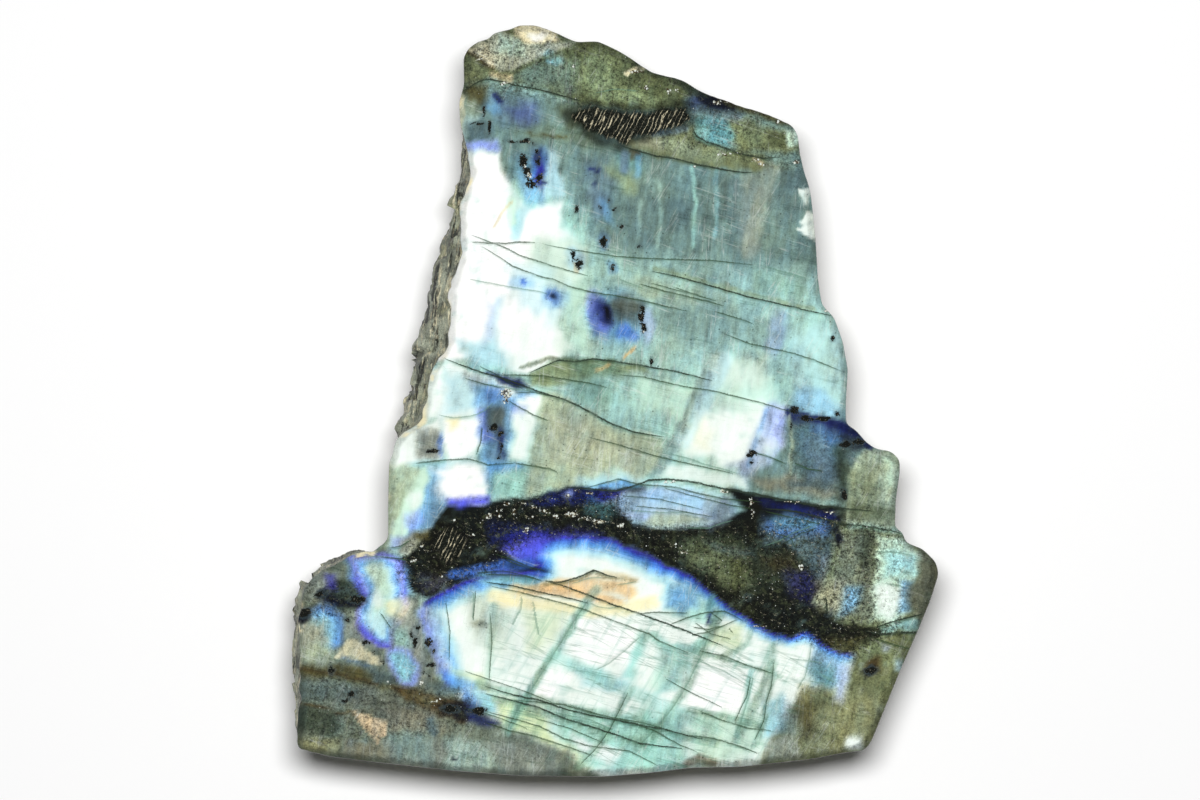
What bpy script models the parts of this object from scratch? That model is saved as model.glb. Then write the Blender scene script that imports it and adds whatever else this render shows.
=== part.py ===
"""A rough chunk of labradorite with one polished face, lying on its broken back.

The stone is one solid. Its face was lapped flat and its edge eased with a polisher, and everything
else is as it broke: ledged sides, a splintered left flank that stands out past the face, three
pockets in the face, and a back that slopes up, in two places by a step, from the one flat cleavage
plane that the stone rests on.

Tables and functions are in millimetres, and the finished mesh is in metres. +Z is up, out of the
polished face, +Y runs to the narrow head of the stone and +X to its right. The origin lies on the
resting flat, under the middle of the polished face.
"""

import bmesh
import bpy
import numpy as np

MM = 0.001

# Driving dimensions, in millimetres
THICKNESS = 34.0
EASED_WIDTH = 1.6
EASED_DROP = 0.9
BASE_SHARE = 0.78
BASE_CENTRE = (1.0, -9.0)

# How many points a ring has, and how many rings each zone of the skin has
RING_POINTS = 210
EASED_RINGS = 3
SIDE_RINGS = 13
UNDER_RINGS = 5

# The polished edge, anticlockwise from the lower left corner. Each row is x, y and the flare, which
# is how far the broken side stands out past the polished edge there.
FOOT_EDGE = [
    (-63.2, -69.6, 0.6), (-56.8, -71.2, 0.4), (-46.8, -72.4, 0.3), (-32.0, -74.0, 0.3),
    (-18.8, -75.0, 0.3), (-2.8, -75.2, 0.2), (7.2, -74.4, 0.2), (15.2, -73.4, 0.3),
    (25.0, -73.2, 0.3), (33.0, -72.4, 0.2), (40.0, -71.6, 0.2), (46.0, -70.4, 0.2),
    (50.0, -70.0, 0.2),
]
RIGHT_EDGE = [
    (51.4, -68.4, 0.2), (54.4, -61.0, 0.2), (57.4, -53.6, 0.2), (60.8, -46.0, 0.2),
    (63.4, -39.6, 0.2), (65.0, -34.6, 0.2), (64.4, -32.2, 0.3), (61.8, -29.6, 0.4),
    (58.2, -28.2, 0.4), (57.8, -26.2, 0.2), (56.2, -25.4, 0.2), (56.4, -19.8, 0.2),
    (57.2, -14.2, 0.2), (57.2, -11.8, 0.2), (55.4, -10.0, 0.3), (52.4, -9.6, 0.3),
    (50.4, -8.2, 0.3), (48.4, -5.8, 0.3), (46.4, -4.6, 0.2), (46.4, 0.2, 0.2),
    (46.8, 6.2, 0.2), (45.8, 11.8, 0.2), (44.0, 16.8, 0.3), (41.6, 19.2, 0.3),
    (40.8, 24.4, 0.2), (40.4, 31.4, 0.2), (39.8, 37.8, 0.2), (39.2, 42.4, 0.2),
    (38.0, 46.0, 0.2), (37.2, 49.4, 0.2), (36.8, 53.2, 0.2),
]
HEAD_EDGE = [
    (35.6, 55.2, 0.4), (31.4, 57.0, 0.5), (27.4, 58.4, 0.6), (18.6, 61.2, 0.6),
    (13.7, 64.2, 0.5), (7.5, 65.7, 0.4), (3.7, 68.3, 0.4), (0.8, 70.1, 0.4),
    (-3.2, 71.7, 0.4), (-7.4, 71.7, 0.4), (-10.9, 73.1, 0.4), (-14.2, 74.3, 0.4),
    (-19.6, 74.9, 0.4), (-24.0, 73.4, 0.5), (-27.1, 71.2, 0.5),
]
LEFT_EDGE = [
    (-29.7, 68.4, 0.4), (-30.0, 63.2, 0.3), (-31.0, 59.8, 0.3), (-30.7, 54.8, 0.4),
    (-30.2, 51.2, 0.8), (-29.2, 43.8, 2.8), (-29.8, 37.4, 3.3), (-30.4, 32.2, 3.4),
    (-31.8, 26.6, 3.1), (-32.4, 22.2, 3.9), (-32.4, 16.0, 5.6), (-33.4, 10.6, 6.3),
    (-36.4, 6.4, 4.8), (-37.8, 2.2, 3.4), (-38.2, -2.6, 3.8), (-40.8, -6.2, 2.4),
    (-43.2, -7.6, 0.8), (-45.0, -12.2, 0.4), (-45.2, -19.8, 0.3), (-45.2, -27.4, 0.5),
    (-46.8, -29.4, 1.0), (-52.8, -31.0, 1.4), (-57.2, -33.4, 1.5), (-60.8, -35.8, 1.5),
    (-62.4, -38.4, 1.5), (-63.1, -42.6, 1.4), (-63.3, -52.0, 1.3), (-63.2, -59.4, 1.3),
    (-63.5, -66.0, 1.4),
]

# Softening of the outline's corners, of the directions that the sides lean in, and of the outline
# that the resting flat follows
CORNER_REACH = 0.7
LEAN_REACH = 5.0
BASE_REACH = 9.0
FINE_FACTOR = 16

# The sides' profile: the shares of the way down where the flare is full and where it starts to fade,
# the share of it that is lost by the foot, and the powers that the lean and the underside follow
FLARE_FULL = 0.3
FLARE_FADES = 0.55
FLARE_LOST = 0.5
LEAN_POWER = 1.4
UNDER_POWER = 1.3

# The least height of the skin above the table, outside the flat that the stone rests on
LIFTED = 0.15

# Round the stone from the lower left corner, at equal shares of the outline: how far the side leans
# in at its foot, and how high its lower edge lies above the table
LEAN_IN = [2.6, 3.4, 2.2, 4.6, 5.6, 3.4, 6.4, 4.2, 5.2, 7.0, 8.4, 6.0, 4.6, 2.8, 3.6, 2.0]
FOOT_HEIGHT = [5.0, 4.0, 7.5, 3.6, 6.5, 10.0, 6.0, 9.5, 12.5, 9.0, 13.0, 15.0, 9.0, 6.0, 8.5, 6.0]

# Planes that the sides broke along: a point on the plane, its outward direction and its half width,
# of which the plane holds for this share before it fades
BREAK_HOLDS = 0.8
BREAKS = [
    ((-30.0, -73.2, 18.0), (-0.12, -1.0, -0.20), 26.0),
    ((22.0, -72.0, 20.0), (0.22, -1.0, -0.28), 22.0),
    ((55.5, -60.0, 19.0), (1.0, -0.35, -0.25), 19.0),
    ((60.0, -33.0, 19.0), (1.0, 0.42, -0.35), 13.0),
    ((43.5, 10.0, 17.0), (1.0, 0.10, -0.18), 18.0),
    ((37.0, 42.0, 16.0), (1.0, 0.12, -0.40), 16.0),
    ((24.0, 57.0, 20.0), (0.38, 1.0, -0.30), 17.0),
    ((-6.0, 69.5, 20.0), (0.10, 1.0, -0.42), 16.0),
    ((-27.0, 62.0, 18.0), (-1.0, 0.55, -0.35), 13.0),
    ((-35.5, 25.0, 15.0), (-1.0, 0.16, -0.22), 18.0),
    ((-42.0, -18.0, 16.0), (-1.0, 0.05, -0.30), 12.0),
    ((-61.5, -52.0, 15.0), (-1.0, -0.08, -0.20), 18.0),
]

# Splintered facets: (size, flattening, step, tilt) of each scale of them, the depths below the face
# between which they set in, and the waves that their chance numbers come from
CHANCE_WAVES = (127.1, 311.7, 74.7)
CHANCE_KEY_WAVE = 19.19
CHANCE_SPREAD = 43758.5453
FACET_SCALES = [(21.0, 1.7, 3.0, 0.34), (8.5, 2.1, 1.0, 0.24)]
FACET_START = 1.5
FACET_FULL = 5.0

# Splinters sink below the bare skin by this much, and may stand proud of it only on the flared flank:
# at least this far, and this share of the flare more
SUNK = 1.1
SUNK_FLARE = 4.0
PROUD_LEAST = 0.1
PROUD_SHARE = 0.13

# Cleavage steps on the back: a point on the step's edge, the way it goes on from there, in degrees
# from +X, and its height above the resting flat
BACK_STEPS = {
    "head_step": ((2.0, 39.0), 74.0, 2.6),
    "flank_step": ((37.0, -34.0), -14.0, 1.7),
}
STEP_REACH = 60.0

# Broken pockets in the polished face, whose floors the polisher didn't reach: outline and depth
POCKETS = {
    "striated_pocket": (
        [
            (-8.5, 57.2), (-5.2, 58.6), (0.0, 58.3), (2.8, 57.7), (7.2, 58.0), (11.4, 58.7),
            (14.1, 58.3), (15.3, 56.3), (12.6, 54.8), (8.4, 54.0), (4.6, 53.5), (1.8, 51.7),
            (-0.4, 52.4), (-3.9, 54.2), (-7.0, 55.5),
        ],
        0.9,
    ),
    "knot_pocket": (
        [
            (-36.6, -27.0), (-34.6, -25.2), (-31.6, -25.9), (-29.2, -26.8), (-30.4, -30.2),
            (-31.8, -32.4), (-34.8, -31.8), (-36.4, -29.8),
        ],
        0.7,
    ),
    "vein_pocket": (
        [
            (-19.0, -19.2), (-12.0, -18.6), (-5.2, -20.0), (1.4, -22.6), (4.6, -25.2),
            (0.6, -25.8), (-6.0, -23.6), (-13.0, -22.0), (-18.2, -21.2),
        ],
        0.6,
    ),
}
CUTTER_HEIGHT = 3.0
WELD = 0.01


def softened(rows, reach, step):
    """Rows round a closed loop after a Gaussian blur of that reach, done on their spectrum."""
    cycles = np.fft.fftfreq(len(rows), step)
    keep = np.exp(-0.5 * (2 * np.pi * cycles * reach) ** 2)
    return np.fft.ifft(np.fft.fft(rows, axis=0) * keep[:, None], axis=0).real


def smoothstep(low, high, value):
    """0 below low, 1 above high, and a smooth rise between them."""
    share = np.clip((value - low) / (high - low), 0, 1)
    return share * share * (3 - 2 * share)


def outline_rings(count):
    """The polished edge, its flare, the directions its sides lean in and the resting flat's edge."""
    rows = np.array(FOOT_EDGE + RIGHT_EDGE + HEAD_EDGE + LEFT_EDGE)
    loop = np.vstack([rows, rows[:1]])
    along = np.concatenate([[0], np.cumsum(np.hypot(*np.diff(loop[:, :2], axis=0).T))])
    fine_count = count * FINE_FACTOR
    fine = np.linspace(0, along[-1], fine_count, endpoint=False)
    step = along[-1] / fine_count
    fine_rows = np.stack([np.interp(fine, along, loop[:, k]) for k in range(3)], axis=1)

    edge = softened(fine_rows, CORNER_REACH, step)
    leaning = softened(fine_rows[:, :2], LEAN_REACH, step)
    ahead = np.roll(leaning, -1, axis=0) - np.roll(leaning, 1, axis=0)
    outward = np.stack([ahead[:, 1], -ahead[:, 0]], axis=1)
    outward /= np.linalg.norm(outward, axis=1)[:, None]
    centre = np.array(BASE_CENTRE)
    flat = centre + (softened(fine_rows[:, :2], BASE_REACH, step) - centre) * BASE_SHARE
    picked = slice(None, None, FINE_FACTOR)
    return edge[picked, :2], edge[picked, 2], outward[picked], flat[picked]


def round_the_stone(values, count):
    """A table of values at equal shares of the outline, read smoothly at count points."""
    table = np.array(values)
    places = np.arange(count) / count * len(table)
    low = np.floor(places).astype(int)
    share = smoothstep(0, 1, places - low)
    return table[low % len(table)] * (1 - share) + table[(low + 1) % len(table)] * share


def bare_skin():
    """The skin before it is chipped, as rings of points from the polished face down to the flat."""
    edge, flare, outward, flat = outline_rings(RING_POINTS)
    lean = round_the_stone(LEAN_IN, RING_POINTS)
    foot = round_the_stone(FOOT_HEIGHT, RING_POINTS)
    rings = []

    for angle in np.linspace(0, np.pi / 2, EASED_RINGS):
        place = edge - outward * EASED_WIDTH * (1 - np.sin(angle))
        height = THICKNESS - EASED_DROP * (1 - np.cos(angle))
        rings.append(np.column_stack([place, np.full(RING_POINTS, height)]))

    for share in np.linspace(0, 1, SIDE_RINGS + 1)[1:]:
        bulge = smoothstep(0, FLARE_FULL, share) * (1 - FLARE_LOST * smoothstep(FLARE_FADES, 1, share))
        reach = flare * bulge - lean * share**LEAN_POWER
        height = THICKNESS - EASED_DROP - (THICKNESS - EASED_DROP - foot) * share
        rings.append(np.column_stack([edge + outward * reach[:, None], height]))

    lower_edge = rings[-1][:, :2]
    for share in np.linspace(0, 1, UNDER_RINGS + 1)[1:]:
        place = lower_edge + (flat - lower_edge) * share
        rings.append(np.column_stack([place, foot * (1 - share) ** UNDER_POWER]))
    return np.array(rings), flare


def chance(cells, key):
    """A fixed pseudo-random number from 0 to 1 for each whole-numbered cell."""
    mixed = np.sin(cells @ np.array(CHANCE_WAVES) + key * CHANCE_KEY_WAVE) * CHANCE_SPREAD
    return mixed - np.floor(mixed)


def facet_relief(points, size, flattening, step, tilt):
    """Height of flat, tilted splinters: each point takes the plane of the nearest scattered seed."""
    scaled = points / size * np.array([1.0, 1.0, flattening])
    home = np.floor(scaled)
    nearest = np.full(len(points), np.inf)
    height = np.zeros(len(points))
    for shift in np.ndindex(3, 3, 3):
        cell = home + np.array(shift) - 1
        seed = cell + np.stack([chance(cell, key) for key in range(3)], axis=1)
        away = scaled - seed
        distance = np.linalg.norm(away, axis=1)
        slope = np.stack([chance(cell, key) - 0.5 for key in range(3, 6)], axis=1)
        plane = step * (chance(cell, 6) - 0.5) + tilt * size * (away * slope).sum(axis=1)
        closer = distance < nearest
        nearest = np.where(closer, distance, nearest)
        height = np.where(closer, plane, height)
    return height


def outward_of(rings):
    """The outward direction of the skin at each of its points."""
    round_it = np.roll(rings, -1, axis=1) - np.roll(rings, 1, axis=1)
    down_it = np.gradient(rings, axis=0)
    facing = np.cross(down_it, round_it)
    return facing / np.linalg.norm(facing, axis=2)[:, :, None]


def chipped_skin():
    """The skin broken along its planes and splintered, with the polished edge and the flat kept."""
    rings, flare = bare_skin()
    facing = outward_of(rings)
    loose = smoothstep(FACET_START, FACET_FULL, THICKNESS - rings[:, :, 2])
    for spot, direction, half_width in BREAKS:
        normal = np.array(direction) / np.linalg.norm(direction)
        beyond = np.maximum((rings - np.array(spot)) @ normal, 0)
        beside = np.linalg.norm((rings - np.array(spot))[:, :, :2], axis=2)
        near = 1 - smoothstep(half_width * BREAK_HOLDS, half_width, beside)
        rings = rings - (beyond * near * loose)[:, :, None] * normal

    flat_points = rings.reshape(-1, 3)
    relief = sum(facet_relief(flat_points, *scale) for scale in FACET_SCALES)
    relief = relief.reshape(rings.shape[:2]) - SUNK * (1 - smoothstep(0, SUNK_FLARE, flare))
    relief = np.minimum(relief, PROUD_LEAST + PROUD_SHARE * flare) * loose
    relief[-1] = 0
    rings = rings + facing * relief[:, :, None]
    rings[:, :, 2] = np.maximum(rings[:, :, 2], LIFTED)
    rings[-1, :, 2] = 0
    return rings


def stone_material():
    """Grey-teal feldspar with a polished sheen."""
    material = bpy.data.materials.new("labradorite")
    material.use_nodes = True
    shader = material.node_tree.nodes["Principled BSDF"]
    shader.inputs["Base Color"].default_value = (0.36, 0.47, 0.46, 1)
    shader.inputs["Roughness"].default_value = 0.35
    return material


def build_stone(collection):
    """The polished face as one polygon, its border extruded ring by ring, and the flat closing it."""
    rings = chipped_skin() * MM
    shape = bmesh.new()
    border = [shape.verts.new(point) for point in rings[0]]
    shape.faces.new(border)
    edges = list(shape.edges)
    for ring in rings[1:]:
        grown = bmesh.ops.extrude_edge_only(shape, edges=edges)["geom"]
        fresh = [item for item in grown if isinstance(item, bmesh.types.BMVert)]
        edges = [item for item in grown if isinstance(item, bmesh.types.BMEdge)]
        edges = [edge for edge in edges if edge.verts[0] in fresh and edge.verts[1] in fresh]
        below = {}
        for vert in fresh:
            above = next(
                link.other_vert(vert) for link in vert.link_edges if link not in edges
            )
            below[above] = vert
        border = [below[vert] for vert in border]
        for vert, point in zip(border, ring):
            vert.co = point
    shape.faces.new(border)
    bmesh.ops.recalc_face_normals(shape, faces=shape.faces)
    mesh = bpy.data.meshes.new("labradorite_chunk")
    shape.to_mesh(mesh)
    shape.free()
    stone = bpy.data.objects.new("labradorite_chunk", mesh)
    collection.objects.link(stone)
    mesh.materials.append(stone_material())
    return stone


def pocket_cutter(name, outline, depth, collection):
    """A closed prism of a pocket's outline, from its floor to well above the polished face."""
    curve = bpy.data.curves.new(name, "CURVE")
    curve.dimensions = "2D"
    curve.fill_mode = "BOTH"
    curve.extrude = CUTTER_HEIGHT / 2 * MM
    spline = curve.splines.new("POLY")
    spline.points.add(len(outline) - 1)
    for point, (x, y) in zip(spline.points, outline):
        point.co = (x * MM, y * MM, 0, 1)
    spline.use_cyclic_u = True
    drawn = bpy.data.objects.new(name + "_outline", curve)
    drawn.location.z = (THICKNESS - depth + CUTTER_HEIGHT / 2) * MM
    collection.objects.link(drawn)
    bpy.context.view_layer.update()

    graph = bpy.context.evaluated_depsgraph_get()
    mesh = bpy.data.meshes.new_from_object(drawn.evaluated_get(graph))
    cutter = bpy.data.objects.new(name, mesh)
    cutter.matrix_world = drawn.matrix_world.copy()
    collection.objects.link(cutter)
    bpy.data.objects.remove(drawn)
    shape = bmesh.new()
    shape.from_mesh(mesh)
    bmesh.ops.remove_doubles(shape, verts=shape.verts, dist=WELD * MM)
    bmesh.ops.recalc_face_normals(shape, faces=shape.faces)
    shape.to_mesh(mesh)
    shape.free()
    cutter.hide_render = True
    cutter.display_type = "WIRE"
    return cutter


def step_cutter(name, spot, heading, height, collection):
    """A box whose near side stands on the step's edge and whose top is the step's own floor."""
    bpy.ops.mesh.primitive_cube_add(size=STEP_REACH * MM)
    cutter = bpy.context.object
    for holder in list(cutter.users_collection):
        holder.objects.unlink(cutter)
    collection.objects.link(cutter)
    cutter.name = name
    turn = np.radians(heading)
    middle = np.array(spot) + np.array([np.cos(turn), np.sin(turn)]) * STEP_REACH / 2
    cutter.location = (middle[0] * MM, middle[1] * MM, (height - STEP_REACH / 2) * MM)
    cutter.rotation_euler.z = turn
    cutter.hide_render = True
    cutter.display_type = "WIRE"
    return cutter


def cut_away(stone, cutter):
    """Takes a cutter out of the stone with a live Boolean modifier."""
    cut = stone.modifiers.new(cutter.name, "BOOLEAN")
    cut.operation = "DIFFERENCE"
    cut.object = cutter


def main():
    """The stone, with its pockets and its back steps cut out of it."""
    for old in list(bpy.data.objects):
        bpy.data.objects.remove(old)
    parts = bpy.data.collections.new("labradorite_chunk")
    cutters = bpy.data.collections.new("cutters")
    bpy.context.scene.collection.children.link(parts)
    bpy.context.scene.collection.children.link(cutters)
    stone = build_stone(parts)
    for name, (outline, depth) in POCKETS.items():
        cut_away(stone, pocket_cutter(name, outline, depth, cutters))
    for name, (spot, heading, height) in BACK_STEPS.items():
        cut_away(stone, step_cutter(name, spot, heading, height, cutters))


main()
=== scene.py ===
"""A rough labradorite chunk, polished on one face and lying on its broken back on a pale table.

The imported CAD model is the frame, in metres. Tables and functions here are in millimetres, in the same
frame: +Z is up, out of the polished face, +Y runs to the stone's narrow head and +X to its right.
"""

import bpy
import numpy as np
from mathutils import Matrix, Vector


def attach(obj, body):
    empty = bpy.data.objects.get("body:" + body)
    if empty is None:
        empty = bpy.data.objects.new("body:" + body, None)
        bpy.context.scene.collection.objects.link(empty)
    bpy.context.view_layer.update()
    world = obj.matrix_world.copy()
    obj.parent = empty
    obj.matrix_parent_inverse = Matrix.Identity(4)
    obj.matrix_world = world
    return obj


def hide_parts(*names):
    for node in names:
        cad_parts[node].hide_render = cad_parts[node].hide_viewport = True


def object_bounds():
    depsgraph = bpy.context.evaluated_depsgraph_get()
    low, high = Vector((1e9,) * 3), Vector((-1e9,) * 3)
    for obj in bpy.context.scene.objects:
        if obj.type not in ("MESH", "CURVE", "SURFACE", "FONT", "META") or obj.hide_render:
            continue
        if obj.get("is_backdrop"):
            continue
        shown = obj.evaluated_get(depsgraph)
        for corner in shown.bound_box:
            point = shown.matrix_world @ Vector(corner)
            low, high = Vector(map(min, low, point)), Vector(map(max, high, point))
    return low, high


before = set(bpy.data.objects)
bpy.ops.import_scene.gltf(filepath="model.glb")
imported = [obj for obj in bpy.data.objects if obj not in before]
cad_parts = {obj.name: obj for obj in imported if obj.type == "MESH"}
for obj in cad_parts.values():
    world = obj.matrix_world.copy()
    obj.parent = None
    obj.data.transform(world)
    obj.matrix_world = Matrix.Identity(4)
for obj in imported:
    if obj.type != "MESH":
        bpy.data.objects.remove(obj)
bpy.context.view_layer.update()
MM = 0.001

# The stone's broken skin. A hammer took the chunk off a bigger lump of feldspar, which split along
# its cleavage into ledges and splinters. The left flank stands out past the face, and the back
# slopes in to the one flat plane that the stone rests on.

THICKNESS = 34.0
EASED_WIDTH = 0.8
EASED_DROP = 0.45
BASE_SHARE = 0.78
BASE_CENTRE = (1.0, -9.0)

# The polished edge, anticlockwise from the lower left corner: x, y and the flare, which is how far
# the broken side stands out past the edge there
FOOT_EDGE = [
    (-63.2, -69.6, 0.6), (-56.8, -71.2, 0.4), (-46.8, -72.4, 0.3), (-32.0, -74.0, 0.3),
    (-18.8, -75.0, 0.3), (-2.8, -75.2, 0.2), (7.2, -74.4, 0.2), (15.2, -73.4, 0.3),
    (25.0, -73.2, 0.3), (33.0, -72.4, 0.2), (40.0, -71.6, 0.2), (46.0, -70.4, 0.2),
    (50.0, -70.0, 0.2),
]
RIGHT_EDGE = [
    (51.4, -68.4, 0.2), (54.4, -61.0, 0.2), (57.4, -53.6, 0.2), (60.8, -46.0, 0.2),
    (63.4, -39.6, 0.2), (65.0, -34.6, 0.2), (64.4, -32.2, 0.3), (61.8, -29.6, 0.4),
    (58.2, -28.2, 0.4), (57.8, -26.2, 0.2), (56.2, -25.4, 0.2), (56.4, -19.8, 0.2),
    (57.2, -14.2, 0.2), (57.2, -11.8, 0.2), (55.4, -10.0, 0.3), (52.4, -9.6, 0.3),
    (50.4, -8.2, 0.3), (48.4, -5.8, 0.3), (46.4, -4.6, 0.2), (46.4, 0.2, 0.2),
    (46.8, 6.2, 0.2), (45.8, 11.8, 0.2), (44.0, 16.8, 0.3), (41.6, 19.2, 0.3),
    (40.8, 24.4, 0.2), (40.4, 31.4, 0.2), (39.8, 37.8, 0.2), (39.2, 42.4, 0.2),
    (38.0, 46.0, 0.2), (37.2, 49.4, 0.2), (36.8, 53.2, 0.2),
]
HEAD_EDGE = [
    (35.6, 55.2, 0.4), (31.4, 57.0, 0.5), (27.4, 58.4, 0.6), (18.6, 61.2, 0.6),
    (13.7, 64.2, 0.5), (7.5, 65.7, 0.4), (3.7, 68.3, 0.4), (0.8, 70.1, 0.4),
    (-3.2, 72.0, 0.4), (-7.6, 71.8, 0.4), (-11.0, 73.4, 0.4), (-15.6, 75.2, 0.4),
    (-19.2, 75.2, 0.4), (-20.2, 74.5, 0.4), (-24.3, 73.6, 0.5), (-24.9, 72.5, 0.5),
    (-27.4, 71.9, 0.5),
]
LEFT_EDGE = [
    (-29.2, 70.4, 0.5), (-30.1, 68.8, 0.4), (-30.0, 63.2, 0.3), (-31.0, 59.8, 0.3), (-30.7, 54.8, 0.6),
    (-30.0, 51.2, 1.8), (-29.2, 48.0, 2.5), (-28.9, 43.8, 2.7), (-30.2, 41.4, 3.0),
    (-31.0, 37.4, 3.4), (-30.8, 33.6, 4.4), (-30.4, 31.6, 5.4), (-31.2, 26.4, 5.1),
    (-33.0, 23.4, 4.1), (-32.9, 19.0, 4.8), (-32.9, 14.0, 5.8), (-33.8, 9.4, 6.6),
    (-35.2, 8.6, 5.8), (-37.0, 5.0, 4.8), (-37.5, 1.2, 5.0), (-38.2, -3.6, 5.4),
    (-40.8, -5.8, 4.2), (-43.2, -7.6, 1.6), (-45.0, -12.2, 0.4), (-45.2, -19.8, 0.3), (-45.2, -27.4, 0.5),
    (-46.8, -29.4, 1.0), (-52.8, -31.0, 1.4), (-57.2, -33.4, 1.5), (-60.8, -35.8, 1.5),
    (-62.4, -38.4, 1.6), (-63.0, -42.6, 1.9), (-63.0, -52.0, 2.8), (-63.0, -59.4, 3.3),
    (-63.5, -66.0, 2.6),
]
FINE_POINTS = 3360
CORNER_REACH, LEAN_REACH, BASE_REACH = 0.7, 5.0, 9.0
CHIP = 0.34
BULGE_FULL, BULGE_EASES, BULGE_LOSS = 0.3, 0.55, 0.5
LEAN_POWER, UNDER_POWER = 1.4, 1.3
LEAST_RISE, STEP_WIDTH = 0.15, 0.8

# Round the stone at equal shares of the outline: how far the side leans in at its foot, and how high
# its lower edge lies above the table
LEAN_IN = [2.6, 3.4, 2.2, 4.6, 5.6, 3.4, 6.4, 4.2, 5.2, 7.0, 8.4, 6.0, 4.6, 2.8, 3.6, 2.0]
FOOT_HEIGHT = [5.0, 4.0, 7.5, 3.6, 6.5, 10.0, 6.0, 9.5, 12.5, 9.0, 13.0, 15.0, 9.0, 6.0, 8.5, 6.0]

# Planes that the sides broke along: a point on the plane, its outward direction and its half width
BREAKS = [
    ((-30.0, -73.2, 18.0), (-0.12, -1.0, -0.2), 26.0),
    ((22.0, -72.0, 20.0), (0.22, -1.0, -0.28), 22.0),
    ((55.5, -60.0, 19.0), (1.0, -0.35, -0.25), 19.0),
    ((60.0, -33.0, 19.0), (1.0, 0.42, -0.35), 13.0),
    ((43.5, 10.0, 17.0), (1.0, 0.1, -0.18), 18.0),
    ((37.0, 42.0, 16.0), (1.0, 0.12, -0.4), 16.0),
    ((24.0, 57.0, 20.0), (0.38, 1.0, -0.3), 17.0),
    ((-6.0, 69.5, 20.0), (0.1, 1.0, -0.42), 16.0),
    ((-27.0, 62.0, 18.0), (-1.0, 0.55, -0.35), 13.0),
    ((-35.5, 25.0, 15.0), (-1.0, 0.16, -0.22), 18.0),
    ((-42.0, -18.0, 16.0), (-1.0, 0.05, -0.3), 12.0),
    ((-61.5, -52.0, 15.0), (-1.0, -0.08, -0.2), 18.0),
]
FACET_START, FACET_FULL = 1.5, 5.0
FACET_SCALES = [(21.0, 1.7, 3.0, 0.34), (8.5, 2.1, 1.0, 0.24)]
FINE_FACETS = (3.2, 2.6, 0.45, 0.22)
SUNK, SUNK_FLARE = 1.1, 4.0
PROUD_LEAST, PROUD_SHARE = 0.1, 0.13

# Cleavage steps on the back: a point on the step's edge, the way on from it in degrees, its height
BACK_STEPS = [((2.0, 39.0), 74.0, 2.6), ((37.0, -34.0), -14.0, 1.7)]

ACROSS, ALONG = 200, 270
EASED_RINGS, SIDE_RINGS, UNDER_RINGS, BACK_RINGS = 4, 20, 8, 9
RING_POINTS = 2 * (ACROSS + ALONG)


def softened(rows, reach, step):
    """Rows round a closed loop after a Gaussian blur of that reach, done on their spectrum."""
    cycles = np.fft.fftfreq(len(rows), step)
    keep = np.exp(-0.5 * (2 * np.pi * cycles * reach) ** 2)
    return np.fft.ifft(np.fft.fft(rows, axis=0) * keep[:, None], axis=0).real


def smoothstep(low, high, value):
    """0 below low, 1 above high, and a smooth rise between them."""
    share = np.clip((value - low) / (high - low), 0, 1)
    return share * share * (3 - 2 * share)


def outline_rings():
    """The polished edge, its flare, its leaning directions, the resting flat's edge, and shares.

    The edge table is read at equal steps, blurred, and read again at the ring's points, whose four
    runs between the stone's corners each have equal steps.
    """
    rows = np.array(FOOT_EDGE + RIGHT_EDGE + HEAD_EDGE + LEFT_EDGE)
    loop = np.vstack([rows, rows[:1]])
    along = np.concatenate([[0], np.cumsum(np.hypot(*np.diff(loop[:, :2], axis=0).T))])
    fine = np.linspace(0, along[-1], FINE_POINTS, endpoint=False)
    step = along[-1] / FINE_POINTS
    fine_rows = np.stack([np.interp(fine, along, loop[:, k]) for k in range(3)], axis=1)
    edge = softened(fine_rows, CORNER_REACH, step)
    leaning = softened(fine_rows[:, :2], LEAN_REACH, step)
    chips = np.column_stack([fine_rows[:, :2], np.zeros(FINE_POINTS)])
    teeth = CHIP * (cloud(chips, 2.3, 45) + 0.5 * cloud(chips, 1.1, 46))
    teeth *= smoothstep(0.25, 1.0, fine_rows[:, 2])
    ahead = np.roll(leaning, -1, axis=0) - np.roll(leaning, 1, axis=0)
    outward = np.stack([ahead[:, 1], -ahead[:, 0]], axis=1)
    outward /= np.linalg.norm(outward, axis=1)[:, None]
    edge[:, :2] += outward * teeth[:, None]
    centre = np.array(BASE_CENTRE)
    flat = centre + (softened(fine_rows[:, :2], BASE_REACH, step) - centre) * BASE_SHARE

    firsts = np.cumsum([0, len(FOOT_EDGE), len(RIGHT_EDGE), len(HEAD_EDGE)])
    corners = np.append(along[firsts] / along[-1], 1)
    runs = [ACROSS, ALONG, ACROSS, ALONG]
    shares = np.concatenate([
        np.linspace(low, high, count, endpoint=False)
        for low, high, count in zip(corners[:-1], corners[1:], runs)
    ])
    table = np.column_stack([edge, outward, flat])
    table = np.vstack([table, table[:1]])
    places = np.arange(FINE_POINTS + 1) / FINE_POINTS
    read = np.stack([np.interp(shares, places, column) for column in table.T], axis=1)
    return read[:, :2], read[:, 2], read[:, 3:5], read[:, 5:7], shares


def round_the_stone(values, shares):
    """A table of values at equal shares of the outline, read smoothly between them."""
    table = np.array(values)
    places = shares * len(table)
    low = np.floor(places).astype(int)
    share = smoothstep(0, 1, places - low)
    return table[low % len(table)] * (1 - share) + table[(low + 1) % len(table)] * share


def chance(cells, key):
    """A fixed pseudo-random number from 0 to 1 for each whole-numbered cell."""
    mixed = np.sin(cells @ np.array([127.1, 311.7, 74.7]) + key * 19.19) * 43758.5453
    return mixed - np.floor(mixed)


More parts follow.
